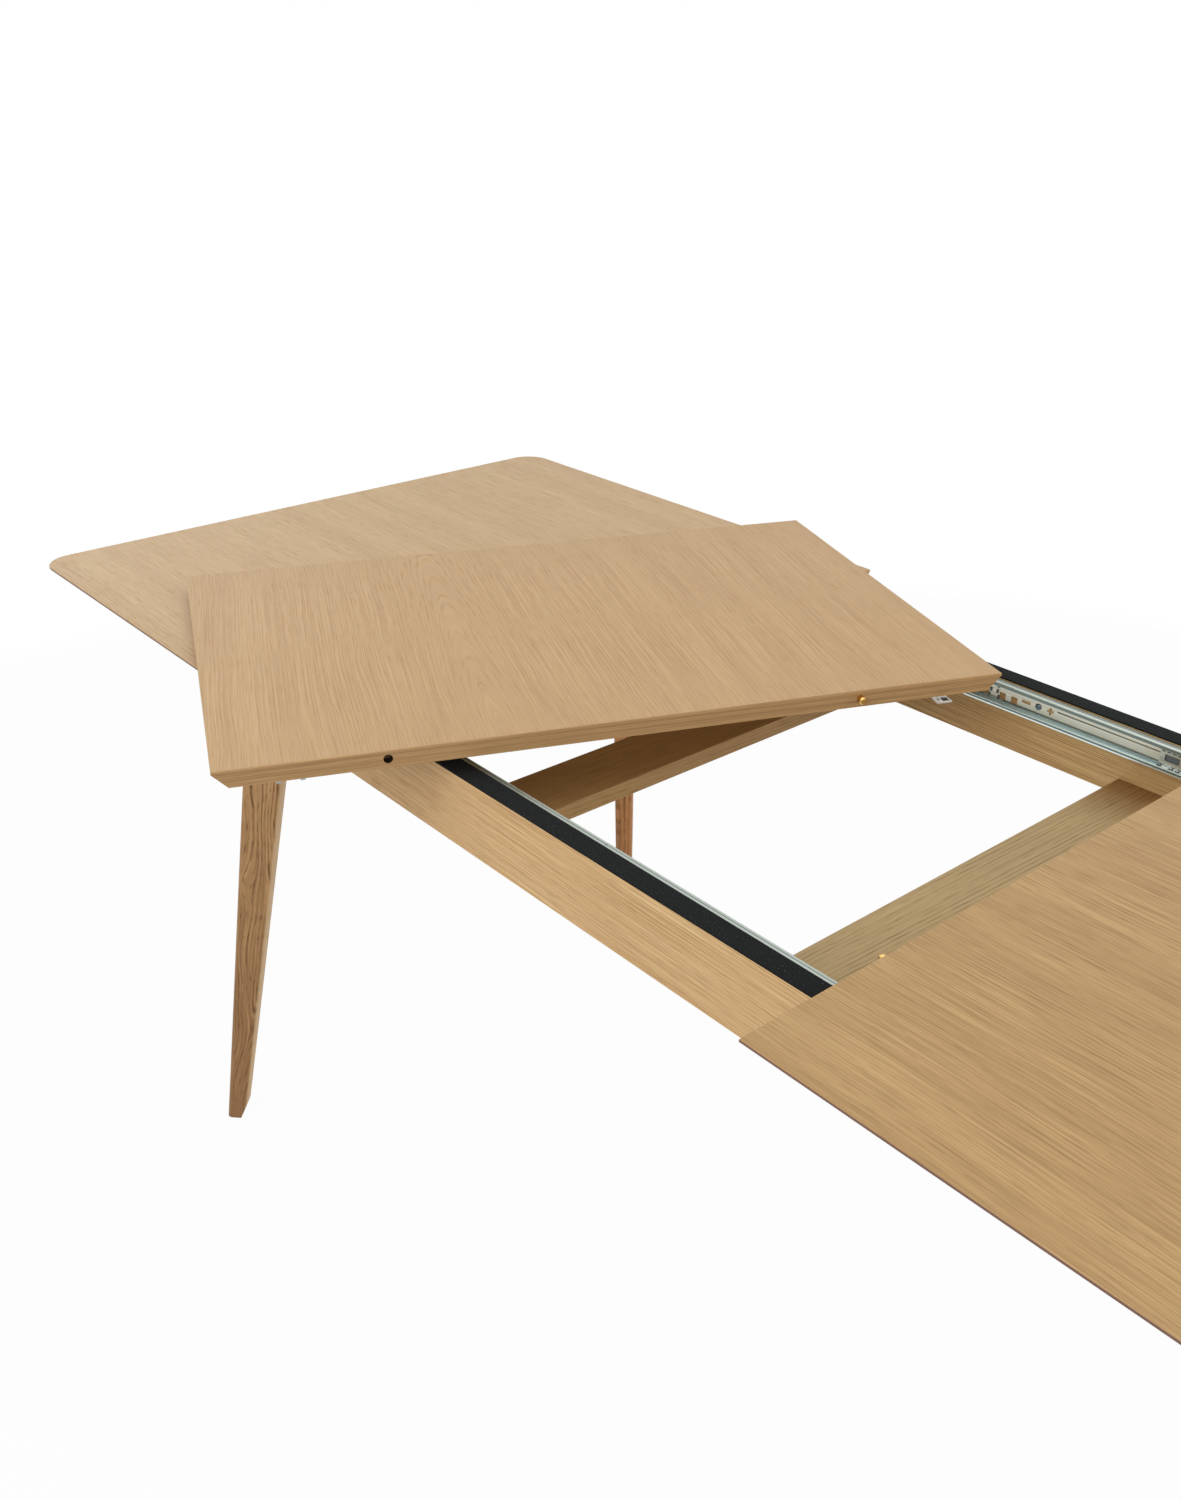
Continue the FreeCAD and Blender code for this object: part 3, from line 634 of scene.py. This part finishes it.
def ring_faces(rows, count):
    """Quads between successive rings and fans to the two poles that follow them."""
    here = np.arange(count)
    ahead = (here + 1) % count
    base = np.arange(rows - 1)[:, None] * count
    quads = np.stack([base + here, base + ahead, base + count + ahead, base + count + here], axis=2)
    first, last = rows * count, rows * count + 1
    top = (rows - 1) * count
    fans = [np.stack([ahead, here, np.full(count, first)], axis=1)]
    fans.append(np.stack([top + here, top + ahead, np.full(count, last)], axis=1))
    return quads.reshape(-1, 4).tolist() + np.concatenate(fans).tolist()


def stadium(count, length, width):
    """Closed loop of a long slot: a circle of the width, its halves moved apart to the length."""
    turn = (np.arange(count) + 0.5) * 2 * math.pi / count
    across = np.cos(turn) * width / 2
    return np.stack([across + np.sign(across) * (length - width) / 2, np.sin(turn) * width / 2], axis=1)


def screw_head(radius, rise):
    """Low dome on a round outline, with a cross sunk in its middle where two slots overlap."""
    share = np.array([0, 1, 1, 0.93, 0.8, 0.66, 0.52, 0.4, 0.28, 0.15, 0])
    level = np.array([0, 0, 0.35, 0.68, 0.86, 0.94, 0.98, 1, 1, 1, 1])
    profile = np.stack([share * radius, share * radius, level * rise], axis=1)

    def slot(a, b):
        inside = np.clip((0.14 * radius - np.abs(a)) / (0.08 * radius) + 0.5, 0, 1)
        return inside * np.clip((0.6 * radius - np.abs(b)) / (0.1 * radius) + 0.5, 0, 1)

    def cross(x, y):
        return -0.6 * rise * np.maximum(slot(x, y), slot(y, x)) * (np.hypot(x, y) < 0.9 * radius)

    return pressed(rounded(32), profile, cross)


def tube_rivet(radius, rise):
    """Rolled rim round a sunk middle, turned about the rivet's own axis."""
    share = np.array([0, 1, 1, 0.86, 0.66, 0.52, 0.4, 0])
    level = np.array([0, 0, 0.6, 1, 1, 0.55, 0.3, 0.3])
    return pressed(rounded(24), np.stack([share * radius, share * radius, level * rise], axis=1))


def channel_joint(depth, height, sheet, lip, length):
    """Folded C section carried along X: an outer path, and the same path a sheet further in."""
    outer = np.array([(depth, lip), (depth, 0), (0, 0), (0, height), (depth, height), (depth, height - lip)])
    shift = np.array([(-1, 0), (-1, 1), (1, 1), (1, -1), (-1, -1), (-1, 0)]) * sheet
    section = np.concatenate([outer, (outer + shift)[::-1]])
    count, half = len(section), len(outer)
    ends = np.repeat([-length / 2, length / 2], count)[:, None]
    points = np.concatenate([ends, np.concatenate([section, section])], axis=1)
    here = np.arange(count)
    ahead = (here + 1) % count
    walls = np.stack([here, ahead, ahead + count, here + count], axis=1)
    run = np.arange(half - 1)
    cap = np.stack([run, count - 1 - run, count - 2 - run, run + 1], axis=1)
    return points, np.concatenate([walls, cap, cap[:, ::-1] + count]).tolist()


def ball(radius):
    """Sphere as rings whose size is the sine and whose height is the cosine of one angle."""
    turn = np.linspace(0, math.pi, 7)
    size = radius * np.sin(turn)
    return pressed(rounded(10), np.stack([size, size, -radius * np.cos(turn)], axis=1))


def placed(shape, at, across, up):
    """Points of a shape with its own X and height turned to the given directions, moved to a place."""
    points, faces = shape
    across, up = np.array(across, float), np.array(up, float)
    beside = np.cross(up, across)
    return points @ np.stack([across, beside, up]) + np.array(at), faces


def piece(name, shapes, material, body, slot, smooth=True):
    """One object of several shapes, riding on a body."""
    points, faces, count = [], [], 0
    for shape_points, shape_faces in shapes:
        points.append(shape_points)
        faces += [[index + count for index in face] for face in shape_faces]
        count += len(shape_points)
    mesh = bpy.data.meshes.new(name)
    mesh.from_pydata(np.concatenate(points).tolist(), [], faces)
    mesh.polygons.foreach_set("use_smooth", np.full(len(faces), smooth))
    mesh.materials.append(material)
    mesh.validate()
    mesh.update()
    made = bpy.data.objects.new(name, mesh)
    bpy.context.scene.collection.objects.link(made)
    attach(made, body)
    return made


def tones(look, wood):
    """Pale and warm colour of one wood."""
    return getattr(look, wood + "_pale"), getattr(look, wood + "_warm")


class TABLE_OT_tops(bpy.types.Operator):
    """Oak veneer with straight streaks along both half tops"""

    bl_idname = "table.tops"
    bl_label = "Half tops"

    def execute(self, context):
        look = context.scene.table_oak
        halves = {"far_top": (1, (-0.70, 0.10), 0.22), "near_top": (-1, (0.90, 0.10), 0.32)}
        for top, (split, heart, pores) in halves.items():
            node = top + "_board"
            cut = Cut(middle(node), (0, 0, 0), heart, **TOP_CUT)
            figure = TOP_FIGURE._replace(pores=pores)
            finish = (look.pore, look.gloss, split, look.lip)
            dress(oak("oak_" + top, cut, figure, *tones(look, top), *finish), [node])
        return {"FINISHED"}


class TABLE_OT_leaf(bpy.types.Operator):
    """Oak veneer with a soft cathedral figure on the loose leaf"""

    bl_idname = "table.leaf"
    bl_label = "Leaf"

    def execute(self, context):
        look = context.scene.table_oak
        cut = Cut(middle("leaf_board"), (0, 0, leaf_turn()), **LEAF_CUT)
        finish = (look.pore, look.gloss, BOTH_ENDS, look.lip)
        dress(oak("oak_leaf", cut, LEAF_FIGURE, *tones(look, "leaf"), *finish), ["leaf_board"])
        return {"FINISHED"}


class TABLE_OT_rails(bpy.types.Operator):
    """Straight grained solid oak on the rails, planks and corner blocks"""

    bl_idname = "table.rails"
    bl_label = "Rails and planks"

    def execute(self, context):
        look = context.scene.table_oak
        finish = (look.pore, look.gloss + RAIL_DULL)
        # lit and shaded tones of one oak as painted light and shade, with a painted shade on the right rail
        # towards the far end
        for side, deepen in zip(SIDES, RAIL_PAINTED_SHADE):
            node = side + "_side_rail"
            cut = Cut(middle(node), (QUARTER, 0, 0), **RAIL_CUT)
            figure = RAIL_FIGURE._replace(deepen=deepen)
            rail = tones(look, side + "_rail")
            dress(oak(f"oak_{side}_rail", cut, figure, *rail, *finish), [node])
        flat, on_edge = (0, 0, QUARTER), (QUARTER, 0, QUARTER)
        for node, turn, wood in (
            ("far_end_rail", on_edge, "left_rail"),
            ("far_cross_plank", flat, "far_plank"),
            ("near_end_rail", on_edge, "left_rail"),
            ("near_cross_plank", flat, "near_plank"),
        ):
            cut = Cut(middle(node), turn, **CROSS_CUT)
            # the near plank takes a painted shade towards its right end
            painted_shade = self.plank_painted_shade(node, look.plank_end_shade) if wood == "near_plank" else None
            dress(oak("oak_" + node, cut, RAIL_FIGURE, *tones(look, wood), *finish, painted_shade=painted_shade), [node])
        for index, node in enumerate(corner_names("corner_block")):
            diagonal = (QUARTER, 0, QUARTER / 2 * (1 if index in (1, 2) else -1))
            cut = Cut(middle(node), diagonal, **BLOCK_CUT)
            dress(oak("oak_" + node, cut, RAIL_FIGURE, *tones(look, "right_rail"), *finish), [node])
        return {"FINISHED"}

    def plank_painted_shade(self, node, tint):
        """Where painted shade darkens a plank towards its right end, along its own X, and its colour there.
        """
        low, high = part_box(node)
        half = (high[1] - low[1]) / 2
        return half - PAINTED_SHADE_REACH[0], half - PAINTED_SHADE_REACH[1], tint


class TABLE_OT_legs(bpy.types.Operator):
    """Flat sawn solid oak, grained along each splayed leg"""

    bl_idname = "table.legs"
    bl_label = "Legs"

    def execute(self, context):
        look = context.scene.table_oak
        finish = (look.pore, look.gloss + LEG_DULL)
        for node in corner_names("leg"):
            foot = middle(node.replace("_leg", "_floor_pad"))
            down = foot - middle(node + "_bolt")
            heading = math.atan2(down[1], down[0])
            tilt = math.atan2(-down[2], math.hypot(down[0], down[1]))
            if node == "far_right_leg":
                # the brown legs take a painted light on their inward faces
                heart, swirl, wood, edge = (0.40, 0.20), 0.1, "red_leg", None
            else:
                heart, swirl, wood, edge = (0.065, 0.045), 0.8, "leg", look.leg_painted_light
            cut = Cut(middle(node), (QUARTER, tilt, heading), heart, swirl=swirl, **LEG_CUT)
            dress(oak("oak_" + node, cut, LEG_FIGURE, *tones(look, wood), *finish, painted_light_colour=edge), [node])
        return {"FINISHED"}


class TABLE_OT_fittings(bpy.types.Operator):
    """Felt, zinc, brass and dark finishes on the frame's fittings"""

    bl_idname = "table.fittings"
    bl_label = "Fittings"

    def execute(self, context):
        look = context.scene.table_metal
        sheet = context.scene.table_hardware.sheet
        dress(felt("felt", look.felt, look.felt_speck), [side + "_felt_strip" for side in SIDES])
        dress(channel_zinc("zinc_channel", look, channels_at(sheet)), corner_names("outer_slide"))
        zinc = plated("zinc_slide", look.zinc, look.zinc_shade, 0.30)
        dress(zinc, corner_names("middle_slide") + corner_names("inner_slide"))
        steel = plated("zinc_hardware", look.steel, look.zinc_shade, 0.34, 90.0)
        dress(steel, corner_names("slide_bracket") + corner_names("leg_bolt") + ["leaf_catches"])
        for board in ("leaf", "far_top", "near_top"):
            clips = board + "_clips"
            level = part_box(clips)[1][2] - CLIP_POCKET / 2
            finish = (look.clip, look.steel, look.clip_pocket_shade)
            dress(clip_zinc("zinc_" + clips, *finish, level), [clips])
        cage = moulded("ball_cage", look.cage, 0.45)
        dress(cage, corner_names("outer_ball_cage") + corner_names("inner_ball_cage"))
        tarnish = [part * 0.85 for part in look.brass]
        brass = plated("brass", look.brass, tarnish, 0.22, (40.0, 300.0, 300.0))
        dress(brass, ["leaf_front_pin", "leaf_back_pin"] + [end + "_top_pin" for end in ENDS])
        dress(moulded("floor_pad", look.pad, 0.8), corner_names("floor_pad"))
        return {"FINISHED"}


Channels = namedtuple("Channels", "middle reach depth foot lip groove crease sheet")
Slide = namedtuple("Slide", "end corner start length out rail inward level")


def channels_at(sheet):
    """Where the four outer slides lie: middle plane, its distance to the rails, depth and heights."""
    left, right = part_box("near_left_outer_slide"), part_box("near_right_outer_slide")
    middle_y = (left[0][1] + right[1][1]) / 2
    foot, head = right[0][2], right[1][2]
    depth = right[1][1] - right[0][1]
    groove = head - foot - SLIDE_LIP - sheet
    reach = right[1][1] - middle_y
    return Channels(middle_y, reach, depth, foot, SLIDE_LIP, groove, SLIDE_CREASE * depth, sheet)


def slide_at(end, side):
    """Where one ball slide lies: inner end, length, outward X, rail face, inward Y and height."""
    corner = f"{end}_{side}"
    low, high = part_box(corner + "_outer_slide")
    start, out = (low[0], 1) if end == "near" else (high[0], -1)
    rail, inward = (high[1], -1) if side == "right" else (low[1], 1)
    return Slide(end, corner, start, high[0] - low[0], out, rail, inward, (low[2] + high[2]) / 2)


def slides():
    return [slide_at(end, side) for end in ENDS for side in SIDES]


def on_web(slide, sheet, along, rise):
    """Point on a slide's web, at a distance from its inner end and a height from its middle."""
    return slide.start + slide.out * along, slide.rail + slide.inward * sheet, slide.level + rise


def sides_of(slide, node):
    """Y of a node's face towards the slide's rail, and of its face away from it."""
    low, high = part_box(node)
    return (low[1], high[1]) if slide.inward > 0 else (high[1], low[1])


class TABLE_OT_slide_screws(bpy.types.Operator):
    """Screws that hold each slide to its rail"""

    bl_idname = "table.slide_screws"
    bl_label = "Slide screws"

    def execute(self, context):
        sizes = context.scene.table_hardware
        look = context.scene.table_metal
        blued = plated("zinc_screw", look.screw, look.cage, 0.26, 300.0)
        head = screw_head(sizes.screw_head / 2, sizes.screw_rise)
        across = (math.cos(SCREW_TURN), 0, math.sin(SCREW_TURN))
        for slide in slides():
            heads = []
            for along in (sizes.screw_first, slide.length - sizes.screw_last):
                at = on_web(slide, sizes.sheet, along, 0)
                heads.append(placed(head, at, across, (0, slide.inward, 0)))
            piece(slide.corner + "_slide_screws", heads, blued, "frame", "zinc_hardware")
        return {"FINISHED"}


class TABLE_OT_slide_beads(bpy.types.Operator):
    """Beads pressed in each slide's web, with the tubular rivet and stops at its inner end"""

    bl_idname = "table.slide_beads"
    bl_label = "Slide beads and stops"

    def execute(self, context):
        sizes = context.scene.table_hardware
        look = context.scene.table_metal
        shadow = plated("zinc_bead", look.bead, look.lip_shade, 0.4)
        rivet = tube_rivet(sizes.rivet / 2, sizes.bead_rise * 4)
        stop = pressed(rounded(20, 5.0) * STOP_SIZE, PUNCHED * (1, 1, STOP_RISE))
        for slide in slides():
            details = []
            for first, last, rise in BEADS_AT:
                outline = stadium(24, slide.length - first - last, sizes.bead_width)
                bead = pressed(outline, BEAD * (1, 1, sizes.bead_rise))
                details.append((bead, (first + slide.length - last) / 2, rise))
            details.append((rivet, *RIVET_AT))
            details += [(stop, *at) for at in STOPS_AT]
            shapes = []
            for shape, along, rise in details:
                at = on_web(slide, sizes.sheet, along, rise)
                shapes.append(placed(shape, at, X_AXIS, (0, slide.inward, 0)))
            piece(slide.corner + "_slide_beads", shapes, shadow, "frame", "zinc_slide")
        return {"FINISHED"}


class TABLE_OT_slide_joints(bpy.types.Operator):
    """Short channels that close the joint between the two slides on each rail"""

    bl_idname = "table.slide_joints"
    bl_label = "Slide joints"

    def execute(self, context):
        sizes = context.scene.table_hardware
        zinc = bpy.data.materials["zinc_channel"]
        for side in SIDES:
            far, near = slide_at("far", side), slide_at("near", side)
            low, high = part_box(f"near_{side}_outer_slide")
            depth, height = high[1] - low[1] - JOINT_INSET, high[2] - low[2] - 2 * JOINT_INSET
            points, faces = channel_joint(depth, height, sizes.sheet, SLIDE_LIP, near.start - far.start)
            points[:, 1] = near.rail + near.inward * points[:, 1]
            points += ((near.start + far.start) / 2, 0, low[2] + JOINT_INSET)
            if near.inward > 0:
                faces = [face[::-1] for face in faces]
            piece(side + "_slide_joint", [(points, faces)], zinc, "frame", "zinc_slide", False)
        return {"FINISHED"}


class TABLE_OT_slide_noses(bpy.types.Operator):
    """Ball pockets, a stop and a row of slits at the inner end of each middle member"""

    bl_idname = "table.slide_noses"
    bl_label = "Slide noses"

    def execute(self, context):
        sizes = context.scene.table_hardware
        look = context.scene.table_metal
        # painted shade: the ball pockets and slits are dark stand-ins for the shaded openings of the cage
        dark = moulded("slide_pocket", [part * 0.35 for part in look.cage], 0.5)
        bright = plated("zinc_stop", look.clip, look.zinc_shade, 0.3, 200.0)
        profile = PUNCHED * (1, 1, sizes.pocket_rise)
        pocket = pressed(rounded(24) * (sizes.pocket / 2, sizes.pocket / 3), profile)
        stop = pressed(rounded(24, 4.0) * (sizes.pocket * 0.7, sizes.pocket / 3), profile * (1, 1, 2))
        slit = pressed(stadium(16, sizes.slit, sizes.slit / 4), BEAD * (1, 1, sizes.pocket_rise))
        sphere = ball(sizes.ball / 3)
        for slide in slides():
            node = slide.corner + "_middle_slide"
            low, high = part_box(node)
            start = low[0] if slide.out > 0 else high[0]
            back, front = sides_of(slide, node)
            aside = front - slide.inward * NOSE_INSET
            floor = low[2] + sizes.sheet
            web = back + slide.inward * sizes.sheet
            shaded_hollows, shiny = [], []
            for along in NOSE_POCKETS:
                x = start + slide.out * along
                shaded_hollows.append(placed(pocket, (x, aside, floor), X_AXIS, Z_AXIS))
                shiny.append(placed(sphere, (x, aside, floor + sizes.ball / 4), X_AXIS, Z_AXIS))
            at = (start + slide.out * NOSE_STOP, aside, floor)
            shiny.append(placed(stop, at, X_AXIS, Z_AXIS))
            for along in NOSE_SLITS:
                at = (start + slide.out * along, web, high[2] - NOSE_DROP)
                shaded_hollows.append(placed(slit, at, X_AXIS, (0, slide.inward, 0)))
            runner = slide.corner + "_runner"
            piece(slide.corner + "_slide_pockets", shaded_hollows, dark, runner, "zinc_slide")
            piece(slide.corner + "_slide_stop", shiny, bright, runner, "zinc_slide")
        return {"FINISHED"}


class TABLE_OT_balls(bpy.types.Operator):
    """Rows of balls in the cages of each slide"""

    bl_idname = "table.balls"
    bl_label = "Slide balls"

    def execute(self, context):
        sizes = context.scene.table_hardware
        steel = bpy.data.materials["zinc_hardware"]
        sphere = ball(sizes.ball / 2)
        for slide in slides():
            shapes = []
            for cage in ("outer", "inner"):
                node = f"{slide.corner}_{cage}_ball_cage"
                low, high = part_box(node)
                front = sides_of(slide, node)[1] - slide.inward * sizes.ball / 8
                arm = (high[2] - low[2]) / 2 - sizes.ball / 2
                along = np.linspace(low[0] + 2 * sizes.ball, high[0] - 2 * sizes.ball, sizes.balls)
                for rise in (-arm, arm):
                    for x in along:
                        shapes.append(placed(sphere, (x, front, slide.level + rise), X_AXIS, Z_AXIS))
            piece(slide.corner + "_slide_balls", shapes, steel, slide.corner + "_runner", "zinc_hardware")
        return {"FINISHED"}


class TABLE_OT_bracket_screws(bpy.types.Operator):
    """Screws up into the tops through each bracket, and rivets through its plate"""

    bl_idname = "table.bracket_screws"
    bl_label = "Bracket screws"

    def execute(self, context):
        sizes = context.scene.table_hardware
        steel = bpy.data.materials["zinc_hardware"]
        head = screw_head(sizes.screw_head / 2, sizes.screw_rise)
        rivet = tube_rivet(sizes.rivet / 2, sizes.screw_rise)
        for slide in slides():
            node = slide.corner + "_slide_bracket"
            low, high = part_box(node)
            fold, edge = sides_of(slide, node)
            under = high[2] - BRACKET_SHEET
            row = np.linspace(low[0], high[0], 7)
            shapes = []
            for x in row[1::2]:
                at = (x, fold * 0.4 + edge * 0.6, under)
                shapes.append(placed(head, at, (0.8, 0.6, 0), (0, 0, -1)))
            for x in row[2::2]:
                at = (x, fold + slide.inward * BRACKET_SHEET, slide.level)
                shapes.append(placed(rivet, at, X_AXIS, (0, slide.inward, 0)))
            piece(slide.corner + "_bracket_screws", shapes, steel, slide.end + "_top", "zinc_hardware")
        return {"FINISHED"}


class TABLE_OT_clip_screws(bpy.types.Operator):
    """Sunk screws in the clips under the split edges"""

    bl_idname = "table.clip_screws"
    bl_label = "Clip screws"

    def execute(self, context):
        sizes = context.scene.table_hardware
        steel = bpy.data.materials["zinc_hardware"]
        sunk = screw_head(sizes.screw_head * 0.4, sizes.bead_rise)
        boards = {"leaf": (leaf_turn(), (1, -1)), "near_top": (math.pi, (1,)), "far_top": (0.0, (1,))}
        for body, (turn, ways) in boards.items():
            board = body + "_board"
            along = np.array([math.cos(turn), math.sin(turn), 0])
            beside = np.array([-math.sin(turn), math.cos(turn), 0])
            shapes = []
            low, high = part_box(board)
            half = LEAF_HALF if body == "leaf" else (high[0] - low[0]) / 2
            for way in ways:
                for share in CLIP_SCREWS:
                    at = middle(board) + along * way * (half - share * sizes.clip_seat)
                    at += beside * way * sizes.clip_offset
                    at[2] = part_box(body + "_clips")[0][2]
                    shapes.append(placed(sunk, at, (0.7, 0.7, 0), (0, 0, -1)))
            piece(body + "_clip_screws", shapes, steel, body, "zinc_hardware")
        return {"FINISHED"}


class TABLE_OT_stage(bpy.types.Operator):
    """Pale floor, white room, soft lights and the camera"""

    bl_idname = "table.stage"
    bl_label = "Stage"

    def execute(self, context):
        look = context.scene.table_stage
        self.room(look)
        self.floor(look)
        self.softbox("ceiling_softbox", look.ceiling, (0.2, -0.3, 4.2), (0, 0, 0), 5.0)
        self.softbox("left_softbox", look.window, (0.5, -3.4, 2.6), (62, 0, 8), 2.6)
        self.softbox("right_softbox", look.lamp, (3.2, 2.4, 0.9), (84, 0, 126), 2.4)
        self.softbox("back_softbox", look.back, (-3.8, 0.3, 1.9), (70, 0, -99), 2.2)
        data = bpy.data.cameras.new("photo_camera")
        data.lens = look.lens
        camera = bpy.data.objects.new("photo_camera", data)
        camera.location = look.eye
        camera.rotation_euler = look.aim
        context.scene.collection.objects.link(camera)
        context.scene.camera = camera
        context.scene.view_settings.view_transform = "Standard"
        return {"FINISHED"}

    def room(self, look):
        """White room: full white where it is seen, and an even softer light on the object."""
        world = bpy.data.worlds.new("white_room")
        bpy.context.scene.world = world
        t = Tree(world)
        light = t.nodes["Background"].inputs
        t.put(light["Color"], (1, 1, 1, 1))
        t.put(light["Strength"], t.between(t.seen(), look.ambient, 1.0))

    def floor(self, look):
        """Square floor that is partly plain white where it is seen, so its shadow stays faint."""
        mesh = bpy.data.meshes.new("floor")
        corners = np.array([(-1, -1, 0), (1, -1, 0), (1, 1, 0), (-1, 1, 0)]) * FLOOR_REACH
        mesh.from_pydata(corners.tolist(), [], [(0, 1, 2, 3)])
        t = Surface("pale_floor")
        cloud = t.noise(t.place, 3.0, 3.0)
        t.finish(Base_Color=t.mix(cloud, *FLOOR_GREYS), Roughness=0.9)
        white = t.node("Emission", {"Color": (1, 1, 1, 1), "Strength": 1.0})
        away = t.steps(t.vector("LENGTH", t.place), *FLOOR_FADE)
        share = t.both(t.math("MAXIMUM", away, look.floor_white), t.seen())
        blend = t.node("MixShader", {0: share, 1: t.shader.outputs[0], 2: white.outputs[0]})
        t.put(t.nodes["Material Output"].inputs["Surface"], blend.outputs[0])
        mesh.materials.append(t.material)
        floor = bpy.data.objects.new("floor", mesh)
        bpy.context.scene.collection.objects.link(floor)

    def softbox(self, name, energy, place, degrees, size):
        data = bpy.data.lights.new(name, "AREA")
        data.energy = energy
        data.size = size
        lamp = bpy.data.objects.new(name, data)
        lamp.location = place
        lamp.rotation_euler = [math.radians(angle) for angle in degrees]
        lamp.visible_camera = False
        bpy.context.scene.collection.objects.link(lamp)


class TABLE_PT_finish(bpy.types.Panel):
    """Lists the table's finishes, hardware and stage"""

    bl_idname = "TABLE_PT_finish"
    bl_label = "Extending table"
    bl_space_type = "VIEW_3D"
    bl_region_type = "UI"
    bl_category = "Table"

    def draw(self, context):
        for operator in OPERATORS:
            self.layout.operator(operator.bl_idname)


GROUPS = {
    "table_oak": OakLook,
    "table_metal": MetalLook,
    "table_hardware": HardwareSizes,
    "table_stage": StageLook,
}
OPERATORS = (
    TABLE_OT_tops,
    TABLE_OT_leaf,
    TABLE_OT_rails,
    TABLE_OT_legs,
    TABLE_OT_fittings,
    TABLE_OT_slide_screws,
    TABLE_OT_slide_beads,
    TABLE_OT_slide_joints,
    TABLE_OT_slide_noses,
    TABLE_OT_balls,
    TABLE_OT_bracket_screws,
    TABLE_OT_clip_screws,
    TABLE_OT_stage,
)
CLASSES = (*GROUPS.values(), *OPERATORS, TABLE_PT_finish)


def register():
    for kind in CLASSES:
        bpy.utils.register_class(kind)
    for name, group in GROUPS.items():
        setattr(bpy.types.Scene, name, PointerProperty(type=group))


def unregister():
    for name in GROUPS:
        delattr(bpy.types.Scene, name)
    for kind in reversed(CLASSES):
        bpy.utils.unregister_class(kind)


def main():
    register()
    for operator in OPERATORS:
        family, name = operator.bl_idname.split(".")
        getattr(getattr(bpy.ops, family), name)()


if __name__ == "__main__":
    main()
